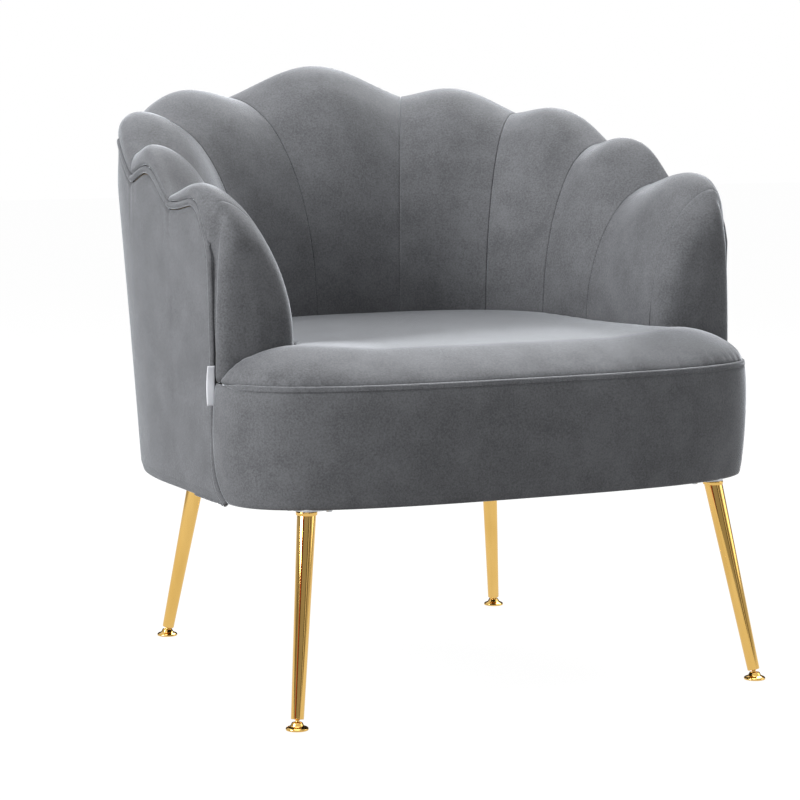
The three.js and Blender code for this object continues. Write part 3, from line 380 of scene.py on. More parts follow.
def wood_finish(name, dark, light, scale):
    finish = Finish(name)
    warp = finish.noise(WOOD_WARPS_PER_M, 3.0, scale=scale)
    place = finish.place(scale)
    values = {"Vector": place, "Scale": WOOD_RINGS_PER_M, "Distortion": 6.0, "Detail": 2.0}
    rings = finish.node("ShaderNodeTexWave", values=values, output=1)
    pores = finish.noise(PORES_PER_M, 2.0, scale=scale)
    grain = rings * 0.45 + warp * 0.35 + pores * 0.2
    return finish.surface(
        Base_Color=finish.shade(grain, dark, light),
        Roughness=pores * 0.2 + 0.6,
        Normal=finish.bump(pores, 0.2 * MM, 0.5),
    )


def cloth_finish(name, dark, light, threads_per_m, depth):
    """A plain weave: ridges across each other, with slubs"""
    finish = Finish(name)
    weave = []
    for direction in ("X", "Y", "Z"):
        values = {"Vector": finish.place(), "Scale": threads_per_m / 6, "Distortion": 0.4}
        weave.append(finish.node("ShaderNodeTexWave", {"bands_direction": direction}, values, output=1))
    ridges = weave[0] * weave[1] + weave[2] * 0.5
    slubs = finish.noise(SLUBS_PER_M, 3.0)
    return finish.surface(
        Base_Color=finish.shade(ridges * 0.6 + slubs * 0.4, dark, light),
        Roughness=slubs * 0.2 + 0.75,
        Normal=finish.bump(ridges, depth, 0.5),
    )


gold = gold_finish()
plate_steel = metal_finish("zinc_plate", (0.42, 0.43, 0.45), (0.6, 0.61, 0.63), 0.35)
spring_steel = metal_finish("oiled_spring_wire", (0.1, 0.1, 0.11), (0.22, 0.22, 0.24), 0.3)
plywood = wood_finish("bent_plywood", (0.42, 0.29, 0.16), (0.66, 0.5, 0.32), (1, 1, 0.12))
timber = wood_finish("planed_timber", (0.36, 0.22, 0.11), (0.6, 0.42, 0.24), (0.12, 1, 1))
dust_cloth = cloth_finish("dust_cloth", (0.008, 0.008, 0.009), (0.03, 0.03, 0.033), 900, 0.15 * MM)
tag_cloth = cloth_finish("tag_cloth", (0.8, 0.82, 0.88), (0.92, 0.93, 0.97), 2400, 0.08 * MM)

# %% [markdown]
# ## Meshes
# Each piece starts as points and faces worked out here. Modifiers could stay live on them, but the
# next step often needs their result, so they are applied at once. Flat shapes with odd outlines
# are filled with even triangles, which bend and swell alike in every direction.

# %% Mesh helpers


def make_piece(name, points, faces, finish, body="chair", closed=False):
    """A piece from points and faces, which rides on a body. A closed one has its faces turned outwards."""
    mesh = bpy.data.meshes.new(name)
    mesh.from_pydata([tuple(map(float, p)) for p in points], [], [tuple(map(int, f)) for f in faces])
    mesh.materials.append(finish)
    if closed:
        work = bmesh.new()
        work.from_mesh(mesh)
        bmesh.ops.recalc_face_normals(work, faces=work.faces)
        work.to_mesh(mesh)
        work.free()
    mesh.polygons.foreach_set("use_smooth", [True] * len(mesh.polygons))
    piece = bpy.data.objects.new(name, mesh)
    bpy.context.scene.collection.objects.link(piece)
    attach(piece, body)
    return piece


def coordinates(mesh):
    spots = np.empty(3 * len(mesh.vertices))
    mesh.vertices.foreach_get("co", spots)
    return spots.reshape(-1, 3)


def put_coordinates(mesh, spots):
    mesh.vertices.foreach_set("co", np.asarray(spots, float).ravel())
    mesh.update()


def settle(piece):
    """Makes what the modifiers give the piece's own mesh"""
    graph = bpy.context.evaluated_depsgraph_get()
    mesh = bpy.data.meshes.new_from_object(piece.evaluated_get(graph))
    piece.modifiers.clear()
    piece.data = mesh


def thicken(piece, thickness, side=-1):
    """Gives a sheet a thickness, inwards of the way its faces look"""
    solid = piece.modifiers.new("thickness", "SOLIDIFY")
    solid.thickness = thickness
    solid.offset = side
    solid.use_even_offset = False
    settle(piece)


def subdivide(piece):
    finer = piece.modifiers.new("finer", "SUBSURF")
    finer.levels = 1
    settle(piece)


def grid_faces(columns, rows, ring=False):
    """Faces of a grid whose points are listed column by column"""
    faces = []
    for c in range(columns - 1):
        for r in range(rows if ring else rows - 1):
            a, b = c * rows + r, c * rows + (r + 1) % rows
            faces.append((a, b, b + rows, a + rows))
    return faces


def flipped(faces):
    """The same faces, looking the other way"""
    return [face[::-1] for face in faces]


def lerp(a, b, share):
    return a + (b - a) * share


def across_channel(values, cell, share):
    """What seam values give at a share of the way across a channel"""
    return lerp(values[cell], values[cell + 1], share)


def smoothstep(edge, value):
    """0 at zero, 1 from the edge on, with an easy start and end"""
    share = np.clip(value / edge, 0, 1)
    return share * share * (3 - 2 * share)


def even(line, spacing):
    """The same line with its points evenly spaced"""
    line = np.asarray(line, float)
    runs = np.append(0, np.cumsum(np.linalg.norm(np.diff(line, axis=0), axis=1)))
    count = max(2, int(round(runs[-1] / spacing)) + 1)
    stops = np.linspace(0, runs[-1], count)
    return np.column_stack([np.interp(stops, runs, values) for values in line.T])


def inside(points, polygon):
    """Whether each point lies in a polygon, by how many of its edges a ray from the point meets"""
    x, y = points[:, 0], points[:, 1]
    hit = np.zeros(len(points), bool)
    for (ax, ay), (bx, by) in zip(polygon, np.roll(polygon, -1, axis=0)):
        crosses = (ay > y) != (by > y)
        with np.errstate(divide="ignore", invalid="ignore"):
            at = ax + (y - ay) * (bx - ax) / (by - ay)
        hit ^= crosses & (x < at)
    return hit


def distance_to(points, line):
    """Each point's least distance to a polyline's points"""
    return np.min(np.linalg.norm(points[:, None] - line[None], axis=2), axis=1)


def spots_inside(loop, low, high, spacing, row_spacing, margin):
    """Staggered rows of points inside a loop, none of them nearer to it than the margin"""
    spots = []
    for i, y in enumerate(np.arange(low[1], high[1], row_spacing)):
        shift = spacing / 2 if i % 2 else 0
        spots += [(x + shift, y) for x in np.arange(low[0], high[0], spacing)]
    spots = np.array(spots)
    spots = spots[inside(spots, loop)]
    return spots[distance_to(spots, loop) > margin]


def triangulated(loops, spots, tolerance=1e-6):
    """Points and triangles inside loops of plan points, and which given points each one came from"""
    edges, points = [], []
    for loop in loops:
        first = len(points)
        points += [Vector(p) for p in loop]
        edges += [(first + i, first + (i + 1) % len(loop)) for i in range(len(loop))]
    points += [Vector(p) for p in spots]
    flat, _, faces, sources, *_ = delaunay_2d_cdt(points, edges, [], 1, tolerance)
    return np.array([tuple(p) for p in flat]), faces, sources


def unit(vectors):
    return vectors / np.maximum(np.linalg.norm(vectors, axis=-1, keepdims=True), 1e-9)


def measured(path):
    """The way along an evenly spaced path at each of its points, and each point's distance along it"""
    return unit(np.gradient(path, axis=0)), np.arange(len(path)) * np.linalg.norm(path[1] - path[0])


def read_along(spots, run, values):
    """Values in columns, read at distances along a path"""
    return np.column_stack([np.interp(spots, run, column) for column in values.T])


print("mesh helpers ready")

# %% [markdown]
# ## The back's plan and section
# The back is one wall bent round a tub. Four plan curves carry it: the well at the seat, the crest
# on top, the roll's outermost line, and the skirt at the hem. Each is a quarter of a superellipse
# with a straight arm. The same curves make the solids, so the padding lands on them by itself.

# %% Plan curves
ARM_FRONT_Y = -205 * MM
BACK_HALF_WIDTH = 378 * MM
BACK_Y = 353.1 * MM
SHOULDER_Y = -43 * MM
ROLL_SIDE_REACH = 20 * MM
ROLL_BACK_REACH = 15 * MM
ARM_LEAN = 96 * MM
BACK_LEAN = 154 * MM
SIDE_FLARE = 8 * MM
BACK_FLARE = 40 * MM
CREST_HALF_WIDTH = BACK_HALF_WIDTH - ROLL_SIDE_REACH
CREST_Y = BACK_Y - ROLL_BACK_REACH
WELL_HALF_WIDTH = CREST_HALF_WIDTH - ARM_LEAN
WELL_Y = CREST_Y - BACK_LEAN
WELL_SHOULDER_Y = -183 * MM
SKIRT_HALF_WIDTH = BACK_HALF_WIDTH - SIDE_FLARE
SKIRT_Y = BACK_Y - BACK_FLARE
ROLL_POWER = 3.2
CREST_POWER = 2.8
WELL_POWER = 3.4
SKIRT_POWER = 2.66
CURVE_STEPS = 720


class PlanCurve:
    """From the middle of the back round to the front of the right arm"""

    def __init__(self, half_width, shoulder_y, middle_y, power):
        share = np.linspace(0, 1, CURVE_STEPS + 1)
        angle = np.pi / 2 * share**2 * (3 - 2 * share)
        x = half_width * np.sin(angle) ** (2 / power)
        y = lerp(shoulder_y, middle_y, np.maximum(0, np.cos(angle)) ** (2 / power))
        self.points = np.vstack([np.column_stack([x, y]), [half_width, ARM_FRONT_Y]])
        self.runs = np.append(0, np.cumsum(np.hypot(*np.diff(self.points, axis=0).T)))
        self.length = self.runs[-1]

    def at(self, share, slip=0.0):
        """The place at a share of the curve, slipped along it, and the way out of the chair"""
        run = share * self.length + slip
        i = int(np.clip(np.searchsorted(self.runs, run), 1, len(self.runs) - 1))
        along = self.points[i] - self.points[i - 1]
        along = along / np.hypot(*along)
        return self.points[i - 1] + along * (run - self.runs[i - 1]), np.array([-along[1], along[0]])

    def set_in(self, shares, distance):
        """Points at shares of the curve, moved into the chair by a distance"""
        return np.array([place - out * distance for place, out in map(self.at, shares)])


roll_curve = PlanCurve(BACK_HALF_WIDTH, SHOULDER_Y, BACK_Y, ROLL_POWER)
crest_curve = PlanCurve(CREST_HALF_WIDTH, SHOULDER_Y, CREST_Y, CREST_POWER)
well_curve = PlanCurve(WELL_HALF_WIDTH, WELL_SHOULDER_Y, WELL_Y, WELL_POWER)
skirt_curve = PlanCurve(SKIRT_HALF_WIDTH, SHOULDER_Y, SKIRT_Y, SKIRT_POWER)
print("half crest line", round(crest_curve.length, 3), "m")

# %% [markdown]
# Eight seams part the nine channels. Each seam has its share of every plan curve, and between two
# seams the crest rises in a lobe that is part cosine and part arch. The piping repeats the lobes
# lower down, and on the arm it is a line of its own that turns down the front to the hem.

# %% Seams, crest and piping levels
ARM = 4
WELL_SHARES = [0, 0.114, 0.338, 0.5, 0.661, 1]
CREST_SHARES = [0, 0.175, 0.39, 0.59, 0.771, 1]
ROLL_SHARES = [0, 0.179, 0.413, 0.634, 0.812, 1]
SKIRT_SHARES = [0, 0.188, 0.427, 0.593, 0.787, 1]
CHAIR_HEIGHT = 800 * MM
CREST_DEPTH = 44 * MM
CREST_SEAM_SHARES = [0.945, 0.945, 0.915, 0.8635, 0.799]
CREST_RISE_SHARES = [1, 0.5, 0.58, 0.705, 0.4]
ARM_CORNER_DROP = 77 * MM
PIPING_DEPTH = 33 * MM
PIPING_SEAM_SHARES = [0.89625, 0.89625, 0.86625, 0.8175, 0.7825]
PIPING_RISE_SHARES = [1, 0.575, 0.73, 0.82]
SKIRT_LEVEL = 263.5 * MM
HEM_LEVEL = SKIRT_LEVEL - 2.3 * MM
ARM_PIPING_LEVEL = 633 * MM
ARM_PIPING_Y = ARM_FRONT_Y + 23 * MM
ARM_TOP_SHARES = [
    (0, 0.981), (0.21, 0.984), (0.42, 0.995), (0.58, 1),
    (0.72, 0.984), (0.81, 0.957), (0.88, 0.914), (0.945, 0.873),
]
ARM_FRONT_SHARES = [
    (0.985, 0.832), (1, 0.789), (1, 0.546), (0.976, 0.308), (0.962, 0.212),
    (0.975, 0.106), (1.021, 0.055), (1.07, 0.032), (1.122, 0.0146), (1.19, -0.006),
]
ARM_LINE_STEPS = 6


def lobe(cell, share):
    """The scallop's rise across a channel: 1 in its middle and 0 in its seams"""
    across = share if cell == 0 else 2 * share - 1
    return (0.5 + 0.5 * math.cos(math.pi * across) + 1 - across**2) / 2


def crest_level(cell, share):
    """The scalloped top edge; the arm's part falls from its peak in a quarter round"""
    across = 2 * share - 1
    seam = CHAIR_HEIGHT * CREST_SEAM_SHARES[cell]
    rise = CREST_DEPTH * CREST_RISE_SHARES[cell]
    if cell < ARM:
        return lerp(seam, CHAIR_HEIGHT * CREST_SEAM_SHARES[cell + 1], share) + rise * lobe(cell, share)
    if across < 0:
        return seam + rise * lobe(cell, share)
    return seam + rise - ARM_CORNER_DROP * (1 - math.sqrt(max(0, 1 - across**2)))


def spline(points, steps):
    """A smooth line through points, with a number of steps from each to the next"""
    points = np.asarray(points, float)
    padded = np.vstack([2 * points[0] - points[1], points, 2 * points[-1] - points[-2]])
    line = []
    for a, b, c, d in zip(padded, padded[1:], padded[2:], padded[3:]):
        bend, twist = 2 * a - 5 * b + 4 * c - d, 3 * b - a - 3 * c + d
        for t in np.arange(steps) / steps:
            line.append(0.5 * (2 * b + (c - a) * t + bend * t**2 + twist * t**3))
    return np.array([*line, points[-1]])


arm_seam_y = roll_curve.at(ROLL_SHARES[ARM])[0][1]
arm_line = spline(
    [
        (lerp(arm_seam_y, ARM_PIPING_Y, along), lerp(SKIRT_LEVEL, ARM_PIPING_LEVEL, up))
        for along, up in ARM_TOP_SHARES + ARM_FRONT_SHARES
    ],
    ARM_LINE_STEPS,
)
arm_corner = (len(ARM_TOP_SHARES) - 1) * ARM_LINE_STEPS
arm_turn = (len(ARM_TOP_SHARES) + 1) * ARM_LINE_STEPS


def piping_level(cell, share):
    """The piping's height across a channel"""
    if cell == ARM:
        y = roll_curve.at(across_channel(ROLL_SHARES, cell, share))[0][1]
        return np.interp(-y, -arm_line[: arm_turn + 1, 0], arm_line[: arm_turn + 1, 1])
    line = across_channel(PIPING_SEAM_SHARES, cell, share)
    return CHAIR_HEIGHT * line + PIPING_DEPTH * PIPING_RISE_SHARES[cell] * lobe(cell, share)


print("arm piping from", np.round(arm_line[0], 3), "to", np.round(arm_line[-1], 3))

# %% [markdown]
# Cut upright, the wall shows one line: up the leaning face, over the crest and down the roll to
# the piping. A section holds that line at one place, and many sections side by side make the
# skin. At the arm's front the sections draw together, which rounds the arm's edge.

# %% Sections of the wall
WELL_LEVEL = 455 * MM
ARM_FRONT_ROUND = 26 * MM
PIPING_ALLOWANCE = 5.6 * MM
PIPING_OUT = 3.8 * MM
FACE_POWERS = [2, 2, 2, 2, 1.9, 1.75]
FACE_ROWS = 30
ROLL_ROWS = 14
FOOT_ROWS = 4
FOOT_LEVEL = 330 * MM
ARM_FOOT_LEVEL = 411.6 * MM
ROLL_FULLNESS = 0.8
ARM_ROLL_SHARPER = 0.4
SHARPER_FROM = 0.4
SHARPER_OVER = 0.5
EDGE_SLACK = 0.1 * MM
GROOVE_Y = ARM_PIPING_Y - 7 * MM
GROOVE_FRONT = 3.4 * MM
GROOVE_BACK = 10 * MM
GROOVE_DEPTH = 8 * MM
EASING_ROUNDS = 8
EASED_ON_FACE = 8
EASED_ON_ROLL = 6
CREST_ROW = FOOT_ROWS + FACE_ROWS
EASED = slice(CREST_ROW - EASED_ON_FACE, CREST_ROW + EASED_ON_ROLL)
EASED_BEFORE = slice(EASED.start - 1, EASED.stop - 1)
EASED_AFTER = slice(EASED.start + 1, EASED.stop + 1)


class Section:
    """One upright section of the wall, at a share of the way across a channel"""

    def __init__(self, cell, share, slip):
        def spot(curve, shares):
            return curve.at(across_channel(shares, cell, share), slip)

        self.well = spot(well_curve, WELL_SHARES)[0].copy()
        self.crest, out = spot(crest_curve, CREST_SHARES)
        self.crest = self.crest.copy()
        self.across = np.array([out[1], -out[0], 0])
        self.roll = spot(roll_curve, ROLL_SHARES)[0].copy()
        setback = max(0, self.crest[1] - ARM_FRONT_Y)
        if cell == ARM and setback < ARM_FRONT_ROUND:
            shift = ARM_FRONT_ROUND - math.sqrt(ARM_FRONT_ROUND**2 - (ARM_FRONT_ROUND - setback) ** 2)
            self.well[0] += shift
            self.crest[0] -= shift / 2
            self.roll[0] -= shift
        self.top = crest_level(cell, share)
        self.power = across_channel(FACE_POWERS, cell, share)
        self.foot_level = FOOT_LEVEL
        self.roll_foot = piping_level(cell, share) + PIPING_ALLOWANCE
        self.fullness = ROLL_FULLNESS
        if cell == ARM:
            self.fullness += ARM_ROLL_SHARPER * smoothstep(SHARPER_OVER, share - SHARPER_FROM)
            behind = self.roll[1] - GROOVE_Y
            width = GROOVE_FRONT if behind < 0 else GROOVE_BACK
            self.roll[0] -= GROOVE_DEPTH * math.exp(-((behind / width) ** 2))
        if cell == ARM and self.roll[1] < ARM_PIPING_Y - PIPING_OUT:
            self.roll_foot = ARM_FOOT_LEVEL
        if cell == ARM and self.well[1] < ARM_FRONT_Y + ARM_FRONT_ROUND - EDGE_SLACK:
            self.foot_level = ARM_FOOT_LEVEL

    def face(self, angle):
        """A point of the inner face, at an angle from 0 at the well to a quarter turn on the crest"""
        out = 1 - math.cos(angle) ** (2 / self.power)
        rise = math.sin(angle) ** (2 / self.power)
        return (*lerp(self.well, self.crest, out), WELL_LEVEL + (self.top - WELL_LEVEL) * rise)

    def points(self):
        """From the foot up the inner face, over the crest and down the roll to the piping"""
        foot = self.face(0)
        levels = [lerp(self.foot_level, WELL_LEVEL, i / FOOT_ROWS) for i in range(FOOT_ROWS)]
        line = [(foot[0], foot[1], level) for level in levels]
        line += [self.face(math.pi / 2 * i / FACE_ROWS) for i in range(FACE_ROWS)]
        for i in range(ROLL_ROWS + 1):
            angle = math.pi / 2 * i / ROLL_ROWS
            place = lerp(self.crest, self.roll, math.sin(angle))
            line.append((*place, lerp(self.roll_foot, self.top, math.cos(angle) ** self.fullness)))
        line = np.array(line)
        for _ in range(EASING_ROUNDS):
            line[EASED] += (line[EASED_BEFORE] + line[EASED_AFTER] - 2 * line[EASED]) / 4
        return line


print(FOOT_ROWS + FACE_ROWS + ROLL_ROWS + 1, "points in each section")

# %% [markdown]
# ## Padded channels
# Each channel is foam and wadding under velvet, sewn to its neighbours along a seam that pulls it
# in. It could be sculpted, but cloth knows the shape better: a flat-fronted skin is held along
# its seams, its foot and the piping, and a little pressure swells it until the cloth is taut.

# %% Swelling by cloth simulation
SWELL_FRAMES = 20
CLOTH_STIFFNESS = 12.0
CLOTH_MASS = 0.4
EVENING_ROUNDS = 30
RIM_ROUNDS = 6
RIM_REACH = 13 * MM


def evened(mesh, values, held, rounds):
    """Each point's value averaged with its neighbours', again and again, so that no small folds stay"""
    ends = np.empty(2 * len(mesh.edges), np.int32)
    mesh.edges.foreach_get("vertices", ends)
    a, b = ends.reshape(-1, 2).T
    count = np.bincount(ends, minlength=len(values))[:, None]
    kept = values[held]
    for _ in range(rounds):
        beside = np.zeros_like(values)
        np.add.at(beside, a, values[b])
        np.add.at(beside, b, values[a])
        values = (values + beside / count) / 2
        values[held] = kept
    return values


def swell(piece, held, pressure, cap):
    """Lets a skin swell outwards as cloth, with some points held and every move capped"""
    start = coordinates(piece.data)
    group = piece.vertex_groups.new(name="held")
    group.add([int(i) for i in held], 1.0, "REPLACE")
    cloth = piece.modifiers.new("cloth", "CLOTH")
    cloth.settings.vertex_group_mass = group.name
    cloth.settings.use_pressure = True
    cloth.settings.uniform_pressure_force = pressure
    cloth.settings.effector_weights.gravity = 0
    cloth.settings.tension_stiffness = CLOTH_STIFFNESS
    cloth.settings.compression_stiffness = CLOTH_STIFFNESS
    cloth.settings.mass = CLOTH_MASS
    cloth.collision_settings.use_collision = False
    cloth.point_cache.frame_end = SWELL_FRAMES
    scene = bpy.context.scene
    for step in range(1, SWELL_FRAMES + 1):
        scene.frame_set(step)
    graph = bpy.context.evaluated_depsgraph_get()
    end = coordinates(piece.evaluated_get(graph).data)
    piece.modifiers.remove(cloth)
    piece.vertex_groups.remove(group)
    scene.frame_set(1)
    move = end - start
    far = np.linalg.norm(move, axis=1)
    held_back = cap * np.tanh(far / cap) / np.maximum(far, 1e-9)
    move = evened(piece.data, move * held_back[:, None], held, EVENING_ROUNDS)
    put_coordinates(piece.data, start + move)
    return float(np.linalg.norm(move, axis=1).max())


def outward(grid, across=None):
    """Unit normals of a grid of points, out of the padding"""
    across = np.gradient(grid, axis=0) if across is None else across
    return unit(np.cross(across, np.gradient(grid, axis=1)))


print("cloth helpers ready")

# %% [markdown]
# Beside a seam the skin turns down in a quarter round and then drops into the seam as a wall, so
# that two channels meet in a dark crease and not in a step. The columns stand closest together
# there, where the bend is tightest, and the middle needs far fewer.

# %% Channel skins
SEAM_TURN = 1.8 * MM
SEAM_WALL = 12 * MM
SEAM_GAP = 0.1 * MM
SEAM_HOLD = 2.2 * MM
SEAM_BLEND = 8 * MM
CHANNEL_COLUMNS = 26
PAD_SKIN = 9 * MM
CHANNEL_CROWN = 1.5 * MM
CHANNEL_SWELL = 3 * MM
CHANNEL_PRESSURE = 4.0
CROWN_FOOT = 0.35
CROWN_TOP = 0.25
SEAM_SHARES = [0.0, 0.002, 0.005, 0.009, 0.015, 0.026, 0.045]
OPEN_SHARES = (0.075, 0.925)
MIDDLE_LAST_SHARE = 0.93
ARM_LAST_SHARE = 0.86


def channel_slips(cell):
    """Shares across a channel, closest together at its seams, each with its slip along the curves"""
    near = [(share, SEAM_GAP / 2 if share == 0 else 0) for share in SEAM_SHARES]
    far = [(1 - share, -slip) for share, slip in reversed(near)]
    if cell == 0:
        middle = np.linspace(0, MIDDLE_LAST_SHARE, CHANNEL_COLUMNS // 2)
        return [(share, 0) for share in middle] + far
    last = ARM_LAST_SHARE if cell == ARM else OPEN_SHARES[1]
    open_slips = [(share, 0) for share in np.linspace(OPEN_SHARES[0], last, CHANNEL_COLUMNS)]
    return near + open_slips + ([] if cell == ARM else far)


def skin_of(sections):
    """The grid of the sections' points, and each section's level way across"""
    across = np.array([section.across for section in sections])
    return np.array([section.points() for section in sections]), across


def seam_reach(grid, seams):
    """How far each point of a grid lies from the nearest of its seams, along its own row"""
    return np.min([np.linalg.norm(grid - grid[seam], axis=2) for seam in seams], axis=0)


def turned_skin(grid, across, seams):
    """Crowns a channel's grid and turns its seam edges in, with a wall down into each seam"""
    rows = grid.shape[1]
    reach = seam_reach(grid, seams)
    level = outward(grid, across[:, None, :])
    blend = np.exp(-reach / SEAM_BLEND)[..., None]
    normal = unit(outward(grid) * (1 - blend) + level * blend)
    share = np.linspace(0, 1, rows)
    rise = smoothstep(CROWN_FOOT, share) * smoothstep(CROWN_TOP, 1 - share)
    widest = np.maximum(reach.max(axis=0), 1e-6)
    crown = CHANNEL_CROWN * rise * (1 - (1 - reach / widest) ** 2)
    near = np.clip(1 - reach / SEAM_TURN, 0, 1)
    drop = SEAM_TURN * (1 - np.sqrt(1 - near**2))
    turned = grid + normal * (crown - drop)[..., None]
    if 0 in seams:
        turned = np.concatenate([[turned[0] - level[0] * SEAM_WALL], turned])
        reach = np.concatenate([reach[:1], reach])
    if -1 in seams:
        turned = np.concatenate([turned, [turned[-1] - level[-1] * SEAM_WALL]])
        reach = np.concatenate([reach, reach[-1:]])
    return turned, reach


def finish_channel(name, points, faces, held, node, steady=None):
    """Eases a skin outside its steady points, swells it and gives it a thickness"""
    piece = make_piece(name, points, faces, velvet)
    if steady is not None:
        put_coordinates(piece.data, evened(piece.data, coordinates(piece.data), steady, RIM_ROUNDS))
    moved = swell(piece, held, CHANNEL_PRESSURE, CHANNEL_SWELL)
    thicken(piece, PAD_SKIN)
    subdivide(piece)
    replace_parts(piece, node)
    print(name, len(piece.data.vertices), "points, swelled", round(moved / MM, 1), "mm")


def add_channel(cell, side):
    grid, across = skin_of([Section(cell, share, slip) for share, slip in channel_slips(cell)])
    if cell == 0:
        grid = np.concatenate([grid[:0:-1] * [-1, 1, 1], grid])
        across = np.concatenate([across[:0:-1] * [1, -1, 1], across])
    grid, reach = turned_skin(grid, across, (0, -1))
    if side < 0:
        grid = grid * [-1, 1, 1]
    columns, rows = grid.shape[:2]
    index = np.arange(columns * rows).reshape(columns, rows)
    held = [index[reach < SEAM_HOLD], index[:, :FOOT_ROWS].ravel(), index[:, -1]]
    held = np.unique(np.concatenate(held))
    number = ARM + 1 + side * cell
    faces = grid_faces(columns, rows)
    if side > 0 or cell == 0:
        faces = flipped(faces)
    finish_channel(f"channel_{number}_pad", grid.reshape(-1, 3), faces, held, f"back_channel_{number}")


add_channel(0, 1)
for side in (-1, 1):
    for cell in range(1, ARM):
        add_channel(cell, side)

# %% [markdown]
# ## Arm channels
# The last channel on each side turns the corner and closes the front of the arm. Its skin is the
# same grid, with columns that follow the quarter round of the arm's front edge, and a cap filled
# with evenly spaced triangles, which swell without creases of their own.

# %% Arm skins
CAP_SPACING = 7 * MM
CAP_ROW_SPACING = 0.87 * CAP_SPACING
CAP_MARGIN = 0.55 * CAP_SPACING
CAP_TOLERANCE = 1e-7
CAP_CROWN = 3 * MM
CAP_REACH = 34 * MM
ARM_SETBACKS_MM = [34, 30, 26, 17.8, 14.5, 11.5, 9, 6.8, 4.8, 3.1, 1.7, 0.7, 0]
BESIDE_PIPING = 6 * MM


def arm_slips():
    """The arm's columns, with a run of them round the front's inner and outer edges"""
    reach = crest_curve.at(CREST_SHARES[ARM])[0][1] - ARM_FRONT_Y
    return channel_slips(ARM) + [(1 - setback * MM / reach, 0) for setback in ARM_SETBACKS_MM]


def cap_faces(points, rim):
    """Closes the arm's front: adds points inside the rim's outline and returns the new faces"""
    outline = points[rim]
    foot = even(outline[[-1, 0]], CAP_SPACING)[1:-1]
    loop = np.vstack([outline, foot])[:, [0, 2]]
    low, high = loop.min(axis=0), loop.max(axis=0)
    spots = spots_inside(loop, low, high, CAP_SPACING, CAP_ROW_SPACING, CAP_MARGIN)
    plan, faces, sources = triangulated([loop], spots, CAP_TOLERANCE)
    rise = CAP_CROWN * smoothstep(CAP_REACH, distance_to(plan, loop))
    pull = 1 / np.maximum(np.linalg.norm(plan[:, None] - loop[None], axis=2), 1e-6) ** 2
    depths = np.append(outline[:, 1], np.full(len(foot), ARM_FRONT_Y))
    fronts = pull @ depths / pull.sum(axis=1) - rise
    numbers, added = [], []
    for spot, source, front in zip(plan, sources, fronts):
        if source and source[0] < len(rim):
            numbers.append(int(rim[source[0]]))
        else:
            numbers.append(len(points) + len(added))
            added.append((spot[0], front, spot[1]))
    held = [n for n, source in zip(numbers, sources) if source and len(rim) <= source[0] < len(loop)]
    return np.vstack([points, added]), [tuple(numbers[i] for i in face) for face in faces], held


def add_arm(side):
    grid, across = skin_of([Section(ARM, share, slip) for share, slip in arm_slips()])
    grid, reach = turned_skin(grid, across, (0,))
    columns, rows = grid.shape[:2]
    faces = flipped(grid_faces(columns, rows))
    index = np.arange(columns * rows).reshape(columns, rows)
    points, cap, foot = cap_faces(grid.reshape(-1, 3), index[-1])
    faces += cap
    beside = np.abs(grid[..., 1] - ARM_PIPING_Y) < BESIDE_PIPING
    outside = np.arange(rows) > FOOT_ROWS + FACE_ROWS + ROLL_ROWS // 2
    held = [index[reach < SEAM_HOLD], index[:, :2].ravel(), index[:, -1], index[beside & outside], foot]
    if side < 0:
        points = points * [-1, 1, 1]
        faces = flipped(faces)
    number = ARM + 1 + side * ARM
    held = np.unique(np.concatenate(held))
    rim = points[index[-1, FOOT_ROWS:-2]]
    steady = np.union1d(held, np.flatnonzero(distance_to(points, rim) > RIM_REACH))
    finish_channel(f"channel_{number}_pad", points, faces, held, f"back_channel_{number}", steady)


for side in (-1, 1):
    add_arm(side)

# %% [markdown]
# ## Seat
# The seat is one crowned cushion. It fills the well and runs out in front of both arms, so its
# outline is not a simple shape to grid. A triangulation inside the outline keeps its points even,
# and the crown comes from how far each point lies in from the edge, before the cloth swells.

# %% Seat outline and crown
SEAT_HALF_WIDTH = BACK_HALF_WIDTH - 7 * MM
SEAT_FRONT_Y = -337.5 * MM
SEAT_SHOULDER_Y = -191.5 * MM
SEAT_TAIL_Y = 229 * MM
SEAT_POWER = 3
SEAM_LEVEL = 412.3 * MM
SEAT_CROWN = 38 * MM
SEAT_BACK_RISE = 7 * MM
SEAT_ROLL = 84 * MM
SEAT_ROLL_POWER = 1.4
SEAT_END_FULLER = 0.3
SEAT_END_FROM = 200 * MM
SEAT_END_OVER = 150 * MM
SEAT_SIDE_RISE = 7 * MM
SEAT_SIDE_FROM = 150 * MM
SEAT_SIDE_OVER = 120 * MM
SEAT_SIDE_LENGTH = 95 * MM
HALVINGS = 24


def seat_outline(inset, turn):
    """A point of the seat's outline, at a share of a whole turn from its right-hand end"""
    cos, sin = math.cos(2 * math.pi * turn), math.sin(2 * math.pi * turn)
    reach = SEAT_SHOULDER_Y - SEAT_FRONT_Y if sin < 0 else SEAT_TAIL_Y - SEAT_SHOULDER_Y
    x = (SEAT_HALF_WIDTH - inset) * math.copysign(abs(cos) ** (2 / SEAT_POWER), cos)
    y = SEAT_SHOULDER_Y + (reach - inset) * math.copysign(abs(sin) ** (2 / SEAT_POWER), sin)
    return np.array([x, y])


def inset_of(x, y):
    """How far in from the seat's edge a point lies"""
    reach = SEAT_SHOULDER_Y - SEAT_FRONT_Y if y < SEAT_SHOULDER_Y else SEAT_TAIL_Y - SEAT_SHOULDER_Y
    low, high = 0.0, min(SEAT_HALF_WIDTH, reach) - MM
    for _ in range(HALVINGS):
        middle = (low + high) / 2
        across = abs(x) / (SEAT_HALF_WIDTH - middle)
        along = abs(y - SEAT_SHOULDER_Y) / (reach - middle)
        low, high = (middle, high) if across**SEAT_POWER + along**SEAT_POWER < 1 else (low, middle)
    return low


